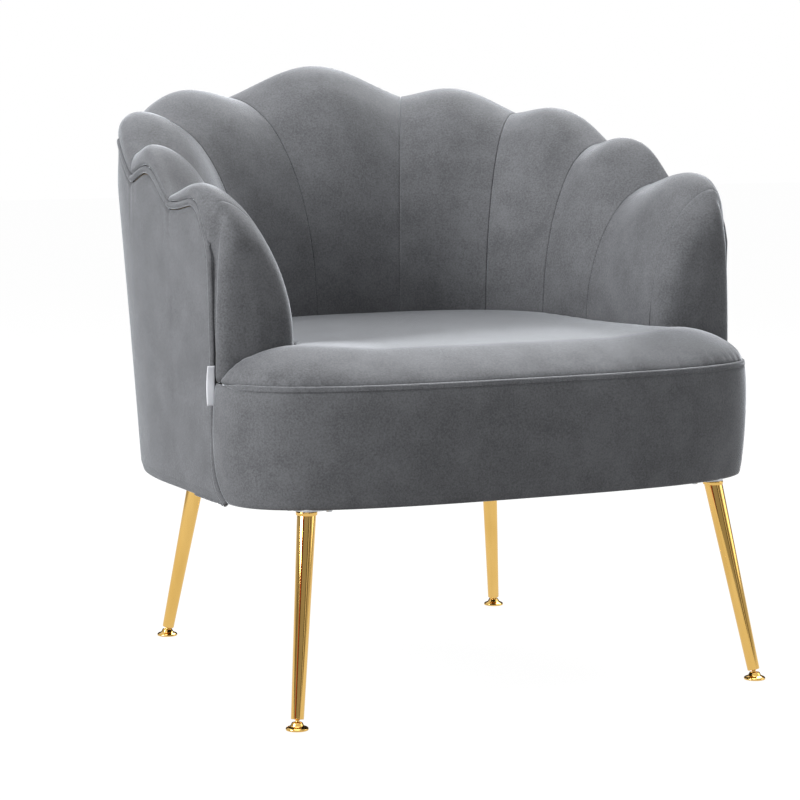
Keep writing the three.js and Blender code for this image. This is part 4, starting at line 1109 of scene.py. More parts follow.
def seat_level(x, y):
    """The crowned top: it rolls up from the edge, and rises to the back and beside the arms"""
    inwards = min(1, inset_of(x, y) / SEAT_ROLL)
    power = SEAT_ROLL_POWER + SEAT_END_FULLER * smoothstep(SEAT_END_OVER, abs(x) - SEAT_END_FROM)
    roll = (1 - (1 - inwards) ** power) ** (1 / power)
    back = max(0, (y - ARM_FRONT_Y) / (WELL_Y - ARM_FRONT_Y))
    aside = smoothstep(SEAT_SIDE_OVER, abs(x) - SEAT_SIDE_FROM)
    beside = aside * math.exp(-(((y - ARM_FRONT_Y) / SEAT_SIDE_LENGTH) ** 2))
    return SEAM_LEVEL + (SEAT_CROWN + SEAT_BACK_RISE * back + SEAT_SIDE_RISE * beside) * roll


print("seat", round(2 * SEAT_HALF_WIDTH, 3), "m wide, its middle at", round(SEAM_LEVEL + SEAT_CROWN, 3), "m")

# %% [markdown]
# The cushion's edge runs along the well, round the foot of each arm's front and along the seat's
# front. Where it lies against the arms and the back it is tucked down, as a real seat is. That
# tuck is worked into the start shape, because cloth held at its rim wouldn't find it by swelling.

# %% Seat cushion
SEAT_SPACING = 9 * MM
SEAT_ROW_SPACING = SEAT_SPACING * math.sqrt(3) / 2
SEAT_MARGIN = 0.6 * SEAT_SPACING
SEAT_PRESSURE = 0.3
SEAT_SWELL = 4 * MM
SEAT_SKIN = 14 * MM
SEAT_GAP = 0.3 * MM
SEAT_CLEARANCE = 1.2 * MM
SEAT_TUCK = 5 * MM
SEAT_TUCK_END = 335 * MM


def arc(middle, radius, start, end, count):
    """Points of an arc in plan, from one angle to another"""
    angles = np.linspace(start, end, count)
    return [middle + radius * np.array([math.cos(a), math.sin(a)]) for a in angles]


def seat_boundary():
    """Round the well, round the foot of the arm's front, and along the front edge"""
    well = well_curve.set_in(np.linspace(0, 1, 160), SEAT_GAP)
    right = even(well[well[:, 1] > ARM_FRONT_Y + ARM_FRONT_ROUND], SEAT_SPACING)
    radius = ARM_FRONT_ROUND + SEAT_CLEARANCE
    inner = np.array([WELL_HALF_WIDTH, ARM_FRONT_Y]) + ARM_FRONT_ROUND
    outer = np.array([BACK_HALF_WIDTH - ARM_FRONT_ROUND, inner[1]])
    end = math.acos((SEAT_HALF_WIDTH - outer[0]) / radius)
    corner = arc(inner, radius, 1.05 * math.pi, 1.5 * math.pi, 12)
    corner += arc(outer, radius, 1.5 * math.pi, 2 * math.pi - end, 8)
    foot = even(corner, SEAT_SPACING)
    front = np.array([seat_outline(0, turn) for turn in np.linspace(0.9999, 0.75, 900)])
    front = even(front[front[:, 1] < foot[-1, 1] - MM], SEAT_SPACING)
    half = np.vstack([right, foot, front])
    mirror = (half * [-1, 1])[::-1]
    against = np.vstack([right, foot[foot[:, 0] < SEAT_TUCK_END]])
    return np.vstack([half[:-1], mirror[:-1]]), np.vstack([against, against * [-1, 1]])


def seat_top():
    """The cushion's skin, and the points of its rim"""
    edge, against = seat_boundary()
    low, high = (-SEAT_HALF_WIDTH, SEAT_FRONT_Y), (SEAT_HALF_WIDTH, WELL_Y)
    spots = spots_inside(edge, low, high, SEAT_SPACING, SEAT_ROW_SPACING, SEAT_MARGIN)
    plan, faces, _ = triangulated([edge], spots)
    touching = distance_to(plan, np.vstack([against, (against[1:] + against[:-1]) / 2]))
    level = np.array([seat_level(x, y) for x, y in plan])
    turn = np.clip(1 - touching / SEAT_TUCK, 0, 1)
    level -= SEAT_TUCK * (1 - np.sqrt(1 - turn**2))
    rim = distance_to(plan, edge) < 1e-5
    return np.column_stack([plan, level]), faces, np.flatnonzero(rim)


points, faces, rim = seat_top()
seat = make_piece("seat_cushion_pad", points, faces, velvet)
moved = swell(seat, rim, SEAT_PRESSURE, SEAT_SWELL)
thicken(seat, SEAT_SKIN)
subdivide(seat)
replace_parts(seat, "seat_cushion")
print("seat", len(seat.data.vertices), "points, swelled", round(moved / MM, 1), "mm")

# %% [markdown]
# ## Front band
# An upright band of velvet closes the seat's front, from the piping of one arm round to the other.
# A plain extrusion would stop short of the piping, which curves forwards at the hem, so each row
# of the grid starts where its own height meets the piping. The cloth then swells between its edges.

# %% Band
BAND_TOP = 412 * MM
BAND_ROWS = 18
BAND_COLUMNS = 150
BAND_PATH_STEP = 2 * MM
BAND_PAST_PIPING = 20 * MM
BAND_PUSH = 1.2 * MM
BAND_PUSH_FADE = 8
BAND_BULGE = 3.8 * MM
BAND_BULGE_POWER = 0.7
BAND_DRAW_POWER = 1.5
BAND_PRESSURE = 1.5
BAND_SWELL = 4 * MM
BAND_END_STEP = 2.5 * MM
BAND_END = 20 * MM
BAND_END_DIP = 5 * MM
BAND_END_WIDTH = 9 * MM
BAND_DRAW_IN = 5 * MM
BAND_SKIN = 5 * MM
PIPING_ACROSS = 4.6 * MM
PIPING_INSET = 2 * MM


def piping_y_at(level):
    """How far forward the arm's piping lies at a level"""
    line = arm_line[arm_corner:]
    return np.interp(-level, -line[:, 1], line[:, 0])


def band_path():
    """The band's plan, from far behind the left piping round the front, and its way out"""
    curve = np.array([seat_outline(0, turn) for turn in np.linspace(0.5, 1, 600)])
    behind = ARM_PIPING_Y + BAND_PAST_PIPING
    return even(np.vstack([[-SEAT_HALF_WIDTH, behind], curve, [SEAT_HALF_WIDTH, behind]]), BAND_PATH_STEP)


def band_grid():
    path = band_path()
    along, run = measured(path)
    out = np.column_stack([along[:, 1], -along[:, 0]])
    rows = []
    for r in range(BAND_ROWS + 1):
        up = r / BAND_ROWS
        level = lerp(HEM_LEVEL, BAND_TOP, up)
        rear_y = piping_y_at(level) + PIPING_OUT
        start = np.interp(-rear_y, -path[: len(path) // 4, 1], run[: len(path) // 4])
        length = run[-1] - 2 * start
        near = np.arange(0, BAND_END, BAND_END_STEP)
        between = np.linspace(BAND_END, length - BAND_END, BAND_COLUMNS)
        spots = start + np.concatenate([near, between, length - near[::-1]])
        bulge = BAND_BULGE * math.sin(math.pi * up) ** BAND_BULGE_POWER
        offset = BAND_PUSH * min(1, BAND_PUSH_FADE * (1 - up)) + bulge
        offset -= BAND_DRAW_IN * (1 - up) ** BAND_DRAW_POWER
        ends = np.minimum(spots - start, start + length - spots)
        offset = (offset - BAND_END_DIP * np.exp(-((ends / BAND_END_WIDTH) ** 2)))[:, None]
        place = read_along(spots, run, path) + read_along(spots, run, out) * offset
        rows.append(np.column_stack([place, np.full(len(spots), level)]))
    return np.array(rows).transpose(1, 0, 2)


grid = band_grid()
columns, rows = grid.shape[:2]
faces = flipped(grid_faces(columns, rows))
band = make_piece("seat_band_pad", grid.reshape(-1, 3), faces, velvet)
index = np.arange(columns * rows).reshape(columns, rows)
edges = np.concatenate([index[0], index[-1], index[:, 0], index[:, -1]])
moved = swell(band, np.unique(edges), BAND_PRESSURE, BAND_SWELL)
thicken(band, BAND_SKIN)
subdivide(band)
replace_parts(band, "seat_band")
print("band", len(band.data.vertices), "points, swelled", round(moved / MM, 1), "mm")

# %% [markdown]
# ## Felled seam
# Where the seat's top meets its band, both edges are folded to one side and sewn down with two
# rows of thread. The strip stands a little proud and narrows to nothing at the arms. Each stitch
# is a short rounded bar, because at this size a painted line would look printed.

# %% Felled seam
FELL_LEVEL = 411.2 * MM
FELL_HALF_WIDTH = 3.9 * MM
FELL_PROUD = 0.9 * MM
FELL_SUNK = 0.15 * MM
FELL_SKIN = 1.6 * MM
FELL_UNDER_MM = [(-1, 1.0), (-0.5, 0.7), (0, 0.3), (0.5, -0.3), (1, -1.6)]
FELL_TAPER = 45 * MM
FELL_CLEAR_OF_ARM = 3 * MM
FELL_COLUMNS = 400
FELL_ROWS = 9
STITCH_SHARES = (0.012, 0.988)
STITCH_PITCH_SHARE = 4 * MM / 1.02
STITCH_LENGTH = 2.8 * MM
STITCH_RADIUS = 0.38 * MM
STITCH_ROWS = (-0.5, 0.5)
BAR_PROFILE = [(-0.5, 0.4), (-0.42, 0.85), (-0.25, 1), (0.25, 1), (0.42, 0.85), (0.5, 0.4)]
BAR_SIDES = 6


def bars(places, directions, length, radius):
    """Points and faces of short level bars with rounded ends"""
    points, faces = [], []
    for place, direction in zip(places, directions):
        side = unit(np.cross(direction, (0.0, 0.0, 1.0)))
        up = np.cross(side, direction)
        rings = []
        for along, wide in BAR_PROFILE:
            for angle in np.arange(BAR_SIDES) * math.pi / 3:
                spread = side * math.cos(angle) + up * math.sin(angle)
                rings.append(place + direction * along * length + spread * radius * wide)
        bar, bar_faces = capped(np.array(rings).reshape(len(BAR_PROFILE), BAR_SIDES, 3))
        faces += [tuple(len(points) + n for n in face) for face in bar_faces]
        points += list(bar)
    return points, faces


def capped(rings):
    """Points and faces of a closed solid skinned over rings"""
    count, sides = rings.shape[:2]
    faces = grid_faces(count, sides, ring=True)
    faces += [tuple(range(sides)), tuple(range((count - 1) * sides, count * sides))]
    return rings.reshape(-1, 3), faces


def fell_surface(spots, across):
    """Points of the strip at places along the seat's edge, from -1 at its foot to 1 at its top"""
    curve = np.array([seat_outline(0, turn) for turn in np.linspace(0.5, 1, 900)])
    path = even(curve[curve[:, 1] < ARM_FRONT_Y - FELL_CLEAR_OF_ARM], MM)
    along, run = measured(path)
    spots = spots * run[-1]
    width = smoothstep(FELL_TAPER, np.minimum(spots, run[-1] - spots))
    place = read_along(spots, run, path)
    way = unit(read_along(spots, run, along))
    out = np.column_stack([way[:, 1], -way[:, 0]])
    under = np.interp(across * width, *np.transpose(FELL_UNDER_MM)) * MM
    proud = under + FELL_PROUD * width * math.sqrt(1 - across**2) - FELL_SUNK
    level = FELL_LEVEL + across * FELL_HALF_WIDTH * width
    return np.column_stack([place + out * proud[:, None], level]), np.column_stack([way, 0 * level])


fell_spots = np.linspace(0, 1, FELL_COLUMNS)
fell_rows = [fell_surface(fell_spots, across)[0] for across in np.linspace(-1, 1, FELL_ROWS)]
fell_grid = np.array(fell_rows).transpose(1, 0, 2)
faces = flipped(grid_faces(*fell_grid.shape[:2]))
fell = make_piece("seat_seam_fell", fell_grid.reshape(-1, 3), faces, velvet)
thicken(fell, FELL_SKIN)
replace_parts(fell, "seat_band")
places, directions = [], []
for row in STITCH_ROWS:
    spots, ways = fell_surface(np.arange(*STITCH_SHARES, STITCH_PITCH_SHARE), row)
    places += list(spots)
    directions += list(ways)
points, faces = bars(places, directions, STITCH_LENGTH, STITCH_RADIUS)
stitches = make_piece("seat_seam_stitches", points, faces, velvet, closed=True)
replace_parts(stitches, "seat_band")
print("felled seam with", len(places), "stitches")

# %% [markdown]
# ## Outer cover
# The outside is velvet pulled tight from the piping to the hem, in three panels. Pulled cloth has
# no swell to simulate, so each panel is a grid between the skirt's curve and the roll's curve, with
# small gathers below the piping's dips and some fullness round the corner. The arm's part is a
# four-sided patch behind the piping, filled by blending its edges.

# %% Outer covers
WALL_SPLIT = 2
COVER_THICKNESS = 3 * MM
HEM_TURN = 3 * MM
HEM_RISE = 0.03
COVER_TUCK = 3 * MM
COVER_TUCK_DROP = 7 * MM
COVER_GAP = 0.3 * MM
COVER_COLUMNS = 22
GATHER = 0.9 * MM
GATHER_WIDTH = 22 * MM
GATHER_LENGTH = 34 * MM
GATHER_WAVES = 6
CHANNEL_WIDTH = 200 * MM
FULLNESS = 5.5 * MM
FULLEST_WAY = np.array([0.9, 0.44])
FULLNESS_FROM = 0.9
FULLNESS_OVER = 0.1
FULLNESS_DROP = 60 * MM

arm_front_line = arm_line[arm_corner:][::-1]
cover_ups = (arm_front_line[:, 1] - HEM_LEVEL) / (arm_front_line[-1, 1] - HEM_LEVEL)
cover_ups[0] = 0


def hem(up):
    """How far the cover turns in at the hem"""
    return HEM_TURN * max(0, 1 - up / HEM_RISE)


def tuck(drop):
    """How far the cover turns in under the piping, by the drop below its top edge"""
    return COVER_TUCK * max(0, 1 - drop / COVER_TUCK_DROP) ** 2


def cover_column(cell, share, slip=0.0):
    """The cover from the hem up to the piping, at a share of the way across a channel"""
    low, low_out = skirt_curve.at(across_channel(SKIRT_SHARES, cell, share), slip)
    high, high_out = roll_curve.at(across_channel(ROLL_SHARES, cell, share), slip)
    top = piping_level(cell, share) - PIPING_ALLOWANCE
    nearest = min(share, 1 - share) if cell else 1 - share
    column = []
    for up in cover_ups:
        out = lerp(low_out, high_out, up)
        drop = (1 - up) * (top - HEM_LEVEL)
        out = out / np.hypot(*out)
        aside = nearest * CHANNEL_WIDTH / GATHER_WIDTH
        pinch = math.cos(GATHER_WAVES * aside) * math.exp(-(aside**2) - drop / GATHER_LENGTH)
        corner = smoothstep(FULLNESS_OVER, float(out @ FULLEST_WAY) - FULLNESS_FROM)
        full = FULLNESS * corner * up * smoothstep(FULLNESS_DROP, drop)
        inward = hem(up) + tuck(drop) + GATHER * pinch - full
        place = lerp(low, high, up) - out * inward
        column.append((*place, lerp(HEM_LEVEL, top, up)))
    return column


def arm_side_x(level):
    """How far out the arm's side stands at a level"""
    up = (level - HEM_LEVEL) / (ARM_PIPING_LEVEL - HEM_LEVEL)
    return lerp(SKIRT_HALF_WIDTH, BACK_HALF_WIDTH, min(1, up)) - hem(up)


def beside_piping(distance):
    """The arm's piping line moved forwards and up by a distance"""
    along = unit(np.gradient(arm_line, axis=0))
    return arm_line + np.column_stack([along[:, 1], -along[:, 0]]) * distance


def arm_cover_columns():
    """The arm's part of the cover, blended from its rear column, its top, its front and its hem"""
    edge = beside_piping(-PIPING_ACROSS - COVER_GAP)
    edge[-1, 1] = HEM_LEVEL
    top_edge = edge[: arm_corner + 1]
    front_edge = edge[arm_corner:][::-1]
    rear = np.array(cover_column(ARM, 0))[:, 1:]
    columns = []
    for k in range(1, len(top_edge)):
        along = k / (len(top_edge) - 1)
        column = []
        for j, up in enumerate(cover_ups):
            across = lerp(lerp(rear[0], front_edge[0], along), top_edge[k], up)
            upright = lerp(rear[j], front_edge[j], along)
            corners = lerp(lerp(rear[0], rear[-1], up), lerp(front_edge[0], front_edge[-1], up), along)
            y, level = across + upright - corners
            drop = (1 - up) * (top_edge[k, 1] - HEM_LEVEL)
            column.append((arm_side_x(level) - tuck(drop), y, level))
        columns.append(column)
    return columns


def add_cover(word, columns, side):
    name = f"outer_velvet_{word}"
    grid = np.array(columns)
    faces = grid_faces(*grid.shape[:2])
    if side < 0:
        grid = grid * [-1, 1, 1]
        faces = flipped(faces)
    cover = make_piece(name, grid.reshape(-1, 3), faces, velvet)
    thicken(cover, COVER_THICKNESS)
    subdivide(cover)
    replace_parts(cover, f"outer_cover_{word}")
    print(name, len(cover.data.vertices), "points")


def panel_columns(cells, seam, slip):
    """Columns across some channels; the one in the seam between two panels slips away from it"""
    columns = []
    for cell in cells:
        shares = np.linspace(0, 1, COVER_COLUMNS)[0 if cell == cells[0] else 1 :]
        columns += [cover_column(cell, share, slip if (cell, share) == seam else 0) for share in shares]
    return columns


side_columns = panel_columns(range(WALL_SPLIT, ARM), (WALL_SPLIT, 0), COVER_GAP / 2) + arm_cover_columns()
rear_half = panel_columns(range(WALL_SPLIT), (WALL_SPLIT - 1, 1), -COVER_GAP / 2)
rear_columns = [[(-x, y, z) for x, y, z in column] for column in rear_half[:0:-1]] + rear_half
add_cover("left", side_columns, -1)
add_cover("right", side_columns, 1)
add_cover("back", rear_columns, 1)

# %% [markdown]
# ## Piping
# A cord in a strip of velvet is sewn into the seam between the channels and the outer cover. Its
# line follows the scallops and then turns down both arm fronts. The strip is pulled flat against
# the cover, so its section is a squashed circle with a faint fold line along its outside. A curve
# with a round bevel would be quicker, but it can't keep such a section's flat side to the cover.

# %% Piping cord
PIPING_SIDES = 16
PIPING_STEP = 3 * MM
FOLD_DEPTH_SHARE = 0.1
FOLD_ANGLE = 1.0
FOLD_WIDTH = 0.28
CORNER_POWER = 1.6


def piping_route():
    """From the foot of the left arm's front, over the scallops, to the foot of the right arm's"""
    right = []
    for cell in range(ARM):
        for share in np.linspace(0, 1, 40)[0 if cell == 0 else 1 :]:
            place, out = roll_curve.at(across_channel(ROLL_SHARES, cell, share))
            right.append((*(place - out * PIPING_INSET), piping_level(cell, share)))
    for y, level in arm_line[1:]:
        right.append((arm_side_x(level) - PIPING_INSET, y, level))
    right = np.array(right)
    left = right[:0:-1] * [-1, 1, 1]
    return even(np.vstack([left, right]), PIPING_STEP)


def sweep(route, outwards, profile):
    """Rings of a profile's (out, across) offsets along a route"""
    along = unit(np.gradient(route, axis=0))
    out = unit(outwards - along * np.sum(outwards * along, axis=1, keepdims=True))
    across = np.cross(along, out)
    return np.array([[p + o * a + c * b for a, b in profile] for p, o, c in zip(route, out, across)])


def route_outwards(route):
    """The way out of the chair along a route round it"""
    out = route * [1, 1, 0]
    out[:, 1] = np.where(route[:, 1] > SHOULDER_Y, route[:, 1] - SHOULDER_Y, 0)
    aside = np.abs(route[:, 0] / BACK_HALF_WIDTH) ** CORNER_POWER
    out[:, 0] = np.sign(route[:, 0]) * aside * BACK_HALF_WIDTH
    out[:, 1] = np.abs(out[:, 1] / BACK_Y) ** CORNER_POWER * BACK_Y
    return unit(out)


def piping_profile():
    """A squashed circle with a low fold line along its outside"""
    profile = []
    for angle in np.linspace(0, 2 * math.pi, PIPING_SIDES, endpoint=False):
        fold = 1 - FOLD_DEPTH_SHARE * math.exp(-(((angle - FOLD_ANGLE) / FOLD_WIDTH) ** 2))
        profile.append((PIPING_OUT * fold * math.cos(angle), PIPING_ACROSS * fold * math.sin(angle)))
    return profile


route = piping_route()
points, faces = capped(sweep(route, route_outwards(route), piping_profile()))
piping = make_piece("piping_cord", points, faces, velvet, closed=True)
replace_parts(piping, "piping")
print("piping", len(route), "rings")

# %% [markdown]
# ## Legs and glides
# Each leg is a tapered tube under a level collar. The glide below is a mushroom pad that tilts on
# the ball of a threaded stem. All are turned parts, so a profile of radius and height spun round
# an axis gives the true form, with small rounds where a lathe tool would leave them.

# %% Turned parts
TURN_SIDES = 72
ROUND_STEPS = 5
CORE_RADIUS = 0.5 * MM
UP = (0, 0, 1)


def rounded(profile, radius):
    """A profile whose inner corners are small arcs"""
    points = [np.array(p, float) for p in profile]
    line = [points[0]]
    for before, corner, after in zip(points, points[1:], points[2:]):
        back, ahead = before - corner, after - corner
        reach = min(radius, np.linalg.norm(back) * 0.45, np.linalg.norm(ahead) * 0.45)
        start = corner + back / np.linalg.norm(back) * reach
        end = corner + ahead / np.linalg.norm(ahead) * reach
        for t in np.linspace(0, 1, ROUND_STEPS):
            line.append((1 - t) ** 2 * start + 2 * t * (1 - t) * corner + t**2 * end)
    return [*line, points[-1]]


def turned_part(name, profile, foot, axis, body, node):
    """Spins a profile of (radius, height) about an axis from its foot, in gold"""
    turn = Vector(UP).rotation_difference(Vector(axis).normalized())
    points, faces = [], []
    rows = len(profile)
    for s in range(TURN_SIDES):
        angle = 2 * math.pi * s / TURN_SIDES
        for radius, height in profile:
            spot = Vector((radius * math.cos(angle), radius * math.sin(angle), height))
            points.append(Vector(foot) + turn @ spot)
    for s in range(TURN_SIDES):
        here, there = s * rows, (s + 1) % TURN_SIDES * rows
        faces += [(here + r, here + r + 1, there + r + 1, there + r) for r in range(rows - 1)]
    faces += [tuple(s * rows + end for s in range(TURN_SIDES)) for end in (0, rows - 1)]
    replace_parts(make_piece(name, points, faces, gold, body, closed=True), node)


print("turning helpers ready")

# %% [markdown]
# A leg's foot and head follow from its place under the seat and its splay. Collar and pad stay
# level, while tube and stem lean with the leg. Pad and stem ride on bodies of their own, so that
# the glide can be screwed out and its pad can tilt.

# %% Legs
LEG_TOP_LEVEL = 259.9 * MM
LEG_END_LEVEL = 12.5 * MM
LEG_TOP_RADIUS = 12 * MM
LEG_END_RADIUS = 8 * MM
COLLAR_RADIUS = 13.4 * MM
COLLAR_HEIGHT = 5 * MM
LEG_SHORT_OF_TOP = 3 * MM
LEG_BORE = 4.3 * MM
LEG_BORE_DEPTH = 6 * MM
LEG_FOOT_ROUND = 0.8 * MM
COLLAR_ROUND = 1.2 * MM
PAD_ROUND = 0.9 * MM
PAD_PROFILE_MM = [
    (0.5, 0), (14.2, 0), (14.2, 2.4), (12.6, 3.6), (8.6, 5.2), (6.6, 9.2), (5.4, 9.2), (4.9, 7.2), (0.5, 1.4)
]
BALL_LEVEL = 6 * MM
BALL_RADIUS = 4.5 * MM
NECK_RADIUS = 2.6 * MM
NECK_TAPER = 0.6 * MM
SHANK_RADIUS = 4 * MM
SHANK_LENGTH = 25 * MM
FRONT_LEG_X = SEAT_HALF_WIDTH - 78.5 * MM
front_leg_reach = (1 - (FRONT_LEG_X / SEAT_HALF_WIDTH) ** SEAT_POWER) ** (1 / SEAT_POWER)
FRONT_LEG_Y = lerp(SEAT_SHOULDER_Y, SEAT_FRONT_Y, front_leg_reach) + 18.67 * MM
LEGS = {
    "front": ((FRONT_LEG_X, FRONT_LEG_Y), (35.8 * MM, -50 * MM)),
    "rear": ((SKIRT_HALF_WIDTH - 144 * MM, SKIRT_Y - 92.6 * MM), (34 * MM, 45.3 * MM)),
}


def leg_place(top, splay, level):
    down = (LEG_TOP_LEVEL - level) / (LEG_TOP_LEVEL - LEG_END_LEVEL)
    return Vector((top[0] + splay[0] * down, top[1] + splay[1] * down, level))


def leg_profile(length):
    """The tube's outside, its foot and the mouth of the bore that the glide's stem runs in"""
    profile = [
        (LEG_BORE, LEG_BORE_DEPTH),
        (LEG_BORE, 0),
        (LEG_END_RADIUS, 0),
        (lerp(LEG_END_RADIUS, LEG_TOP_RADIUS, 0.5), length / 2),
        (LEG_TOP_RADIUS, length),
        (LEG_BORE, length),
    ]
    return rounded(profile, LEG_FOOT_ROUND)


def collar_profile():
    """The collar that covers the leg's weld"""
    ends = [(CORE_RADIUS, 0), (COLLAR_RADIUS, 0)]
    return rounded(ends + [(radius, COLLAR_HEIGHT) for radius, _ in ends[::-1]], COLLAR_ROUND)


def stem_profile(neck):
    """The stem: a ball, a thin neck and the shank that runs up the leg's bore"""
    angles = np.linspace(0.1, math.pi - math.asin(NECK_RADIUS / BALL_RADIUS), 14)
    ball = [(BALL_RADIUS * math.sin(a), -BALL_RADIUS * math.cos(a)) for a in angles]
    return ball + [
        (NECK_RADIUS, neck - NECK_TAPER),
        (SHANK_RADIUS, neck),
        (SHANK_RADIUS, neck + SHANK_LENGTH),
        (CORE_RADIUS, neck + SHANK_LENGTH + MM),
    ]


def add_leg(word, side_word, side):
    top, splay = LEGS[word]
    top, splay = (side * top[0], top[1]), (side * splay[0], splay[1])
    corner = f"{word}_{side_word}"
    foot, head = leg_place(top, splay, LEG_END_LEVEL), leg_place(top, splay, LEG_TOP_LEVEL)
    up = head - foot
    length = up.length - LEG_SHORT_OF_TOP
    turned_part(f"leg_{corner}_tube", leg_profile(length), foot, up, "chair", f"leg_{corner}")
    middle = leg_place(top, splay, LEG_TOP_LEVEL - COLLAR_HEIGHT / 2)
    collar_foot = (middle.x, middle.y, LEG_TOP_LEVEL - COLLAR_HEIGHT)
    turned_part(f"leg_{corner}_collar", collar_profile(), collar_foot, UP, "chair", f"leg_{corner}")
    ball = leg_place(top, splay, BALL_LEVEL)
    pad = rounded([(radius * MM, height * MM) for radius, height in PAD_PROFILE_MM], PAD_ROUND)
    turned_part(f"glide_{corner}_pad", pad, (ball.x, ball.y, 0), UP, f"pad_{corner}", f"glide_pad_{corner}")
    stem = stem_profile((foot - ball).length)
    turned_part(f"glide_{corner}_stem", stem, ball, up, f"stem_{corner}", f"glide_stem_{corner}")


for side_word, side in (("left", -1), ("right", 1)):
    for word in LEGS:
        add_leg(word, side_word, side)
print("legs, collars, stems and pads made")

# %% [markdown]
# ## Tag
# A blank folded tag is caught in the left arm's seam beside the piping. It is one strip of cloth
# doubled over, so the piece is a single skin that runs out, round the fold and back. Two flat
# sheets would show no fold, and a simulation would show no more than the slight curl given here.

# %% Tag
TAG_BOTTOM = 383 * MM
TAG_HEIGHT = 50 * MM
TAG_REACH = 9.6 * MM
TAG_FOLD_RADIUS = 0.4 * MM
TAG_CLOTH = 0.3 * MM
TAG_CURL = MM
TAG_ROOT = 7 * MM
TAG_BEHIND_PIPING = 1.6 * MM
TAG_ROWS = 24


def tag_profile():
    """The folded strip seen from its end: (reach out of the seam, offset of the ply)"""
    straight = np.linspace(0, TAG_REACH - TAG_FOLD_RADIUS, 8)
    front = [(reach, -TAG_FOLD_RADIUS) for reach in straight]
    fold = [
        (straight[-1] + TAG_FOLD_RADIUS * math.cos(angle), TAG_FOLD_RADIUS * math.sin(angle))
        for angle in np.linspace(-1, 1, 5) * math.pi / 2
    ]
    return [*front, *fold[1:-1], *((reach, -offset) for reach, offset in reversed(front))]


def tag_grid():
    profile = tag_profile()
    rows = []
    for up in np.linspace(0, 1, TAG_ROWS + 1):
        level = TAG_BOTTOM + TAG_HEIGHT * up
        y = piping_y_at(level) - PIPING_ACROSS - TAG_BEHIND_PIPING
        curl = math.sin(math.pi * up) * TAG_CURL
        row = []
        for reach, offset in profile:
            share = reach / TAG_REACH
            x = -BACK_HALF_WIDTH + TAG_ROOT - reach - curl * share
            row.append((x, y + offset + curl * share**2, level))
        rows.append(row)
    return np.array(rows)


grid = tag_grid()
tag = make_piece("side_tag_cloth", grid.reshape(-1, 3), grid_faces(*grid.shape[:2]), tag_cloth)
thicken(tag, TAG_CLOTH, 0)
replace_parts(tag, "side_tag")
print("tag", TAG_HEIGHT / MM, "mm tall")

# %% [markdown]
# ## Dust cover
# Under the seat a thin black cloth is stapled to the rails to keep dust out, with an opening round
# each leg plate. It sags a little between the staples. A simulation would do that too, but the sag
# of a stretched cloth is so small that a smooth dip and a slow ripple give the same.

# %% Dust cover
DUST_LEVEL = 262.8 * MM
DUST_SPACING = 16 * MM
DUST_MARGIN = 0.5 * DUST_SPACING
DUST_INSET = 8 * MM
DUST_CLOTH = 0.6 * MM
DUST_SAG = 3 * MM
DUST_SAG_REACH = 90 * MM
DUST_RIPPLE = 1.2 * MM
DUST_RIPPLE_REACH = 30 * MM
DUST_RIPPLES_PER_M = 14
DUST_GRID_X = (-0.36, 0.36)
DUST_GRID_Y = (-0.33, 0.31)
WINDOW_GAP = 0.8 * MM
WINDOW_SPACING = 6 * MM
RAIL_INSET = 12.5 * MM
SKIRT_INSET = 6.3 * MM
SKIRT_LAST_SHARE = 0.80
SKIRT_FRONT_Y = -160 * MM


def dust_outline():
    """The dust cover's edge: along the seat's front and then the skirt, set in from both"""
    front = np.array([seat_outline(RAIL_INSET + DUST_INSET, turn) for turn in np.linspace(0.75, 1, 60)])
    skirt = skirt_curve.set_in(np.linspace(SKIRT_LAST_SHARE, 0, 120), SKIRT_INSET + DUST_INSET)
    right = even(np.vstack([front, skirt[skirt[:, 1] > SKIRT_FRONT_Y]]), DUST_SPACING)
    left = (right[1:-1] * [-1, 1])[::-1]
    return np.vstack([right, left])


def plate_window(node):
    """The outline of a leg plate, grown by a gap"""
    spots = coordinates(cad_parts[node].data)[:, :2]
    hull = spots[convex_hull_2d([Vector(p) for p in spots])]
    ring = hull + unit(hull - hull.mean(axis=0)) * WINDOW_GAP
    return even(np.vstack([ring, ring[:1]]), WINDOW_SPACING)[:-1]


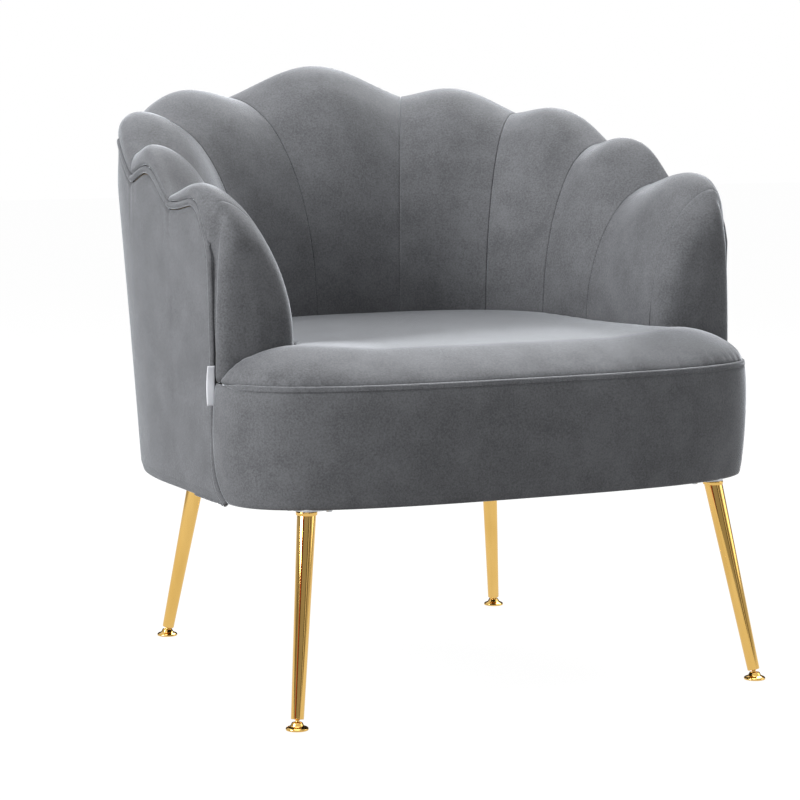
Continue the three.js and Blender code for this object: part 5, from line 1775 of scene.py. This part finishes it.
def dust_sheet():
    """The cloth's points and faces, without those in the openings"""
    outline = dust_outline()
    windows = [plate_window(f"leg_plate_{a}_{b}") for a in LEGS for b in ("left", "right")]
    columns = np.arange(*DUST_GRID_X, DUST_SPACING)
    spots = np.array([(x, y) for y in np.arange(*DUST_GRID_Y, DUST_SPACING) for x in columns])
    spots = spots[inside(spots, outline)]
    loops = [outline, *windows]
    for window in windows:
        spots = spots[~inside(spots, window)]
    for loop in loops:
        spots = spots[distance_to(spots, loop) > DUST_MARGIN]
    plan, faces, _ = triangulated(loops, spots)
    middles = np.array([plan[list(face)].mean(axis=0) for face in faces])
    kept = ~np.any([inside(middles, window) for window in windows], axis=0)
    faces = [face for face, keep in zip(faces, kept) if keep]
    held = np.min([distance_to(plan, loop) for loop in loops], axis=0)
    sag = DUST_SAG * smoothstep(DUST_SAG_REACH, held)
    waves = [noise.noise(Vector((x * DUST_RIPPLES_PER_M, y * DUST_RIPPLES_PER_M, 0))) for x, y in plan]
    ripple = np.array(waves) * DUST_RIPPLE
    level = DUST_LEVEL - sag + ripple * smoothstep(DUST_RIPPLE_REACH, held)
    return np.column_stack([plan, level]), faces


points, faces = dust_sheet()
dust = make_piece("dust_cover_cloth", points, faces, dust_cloth)
thicken(dust, DUST_CLOTH, 0)
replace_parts(dust, "dust_cover")
low, high = points.min(axis=0), points.max(axis=0)
high[0] - low[0]
high[1] - low[1]
print("dust cover", np.round(high - low, 3))

# %% [markdown]
# The staples are short wire bars laid along the edge, a little way in from it. The bars of the
# stitches serve again, at another size and in another finish.

# %% Staples
STAPLE_SPACING = 55 * MM
STAPLE_INSET = 6 * MM
STAPLE_WIDTH = 10 * MM
STAPLE_RADIUS = 0.55 * MM

outline = dust_outline()
line = even(np.vstack([outline, outline[:1]]), STAPLE_SPACING)[:-1]
ways = unit(np.roll(line, -1, axis=0) - np.roll(line, 1, axis=0))
inner = np.column_stack([-ways[:, 1], ways[:, 0]]) * STAPLE_INSET
places = np.column_stack([line + inner, np.full(len(line), DUST_LEVEL - DUST_CLOTH)])
points, faces = bars(places, np.column_stack([ways, 0 * ways[:, 0]]), STAPLE_WIDTH, STAPLE_RADIUS)
staples = make_piece("dust_cover_staples", points, faces, spring_steel, closed=True)
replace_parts(staples, "dust_cover")
print(len(places), "staples")

# %% [markdown]
# ## Hidden frame
# The rails, bent boards, springs, plates and screws are right as solids. New pieces in their
# place would show nothing more, so they keep their own shape, and only their material slots are
# filled with a finish.

# %% Finishes on the solids
NODE_FINISHES = {
    "wall_frame": plywood,
    "base_rail": timber,
    "seat_spring": spring_steel,
    "leg_plate": plate_steel,
    "leg_screw": plate_steel,
}
dressed = 0
for name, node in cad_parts.items():
    for start, finish in NODE_FINISHES.items():
        if name.startswith(start):
            node.data.materials.clear()
            node.data.materials.append(finish)
            dressed += 1
print(dressed, "solids dressed")
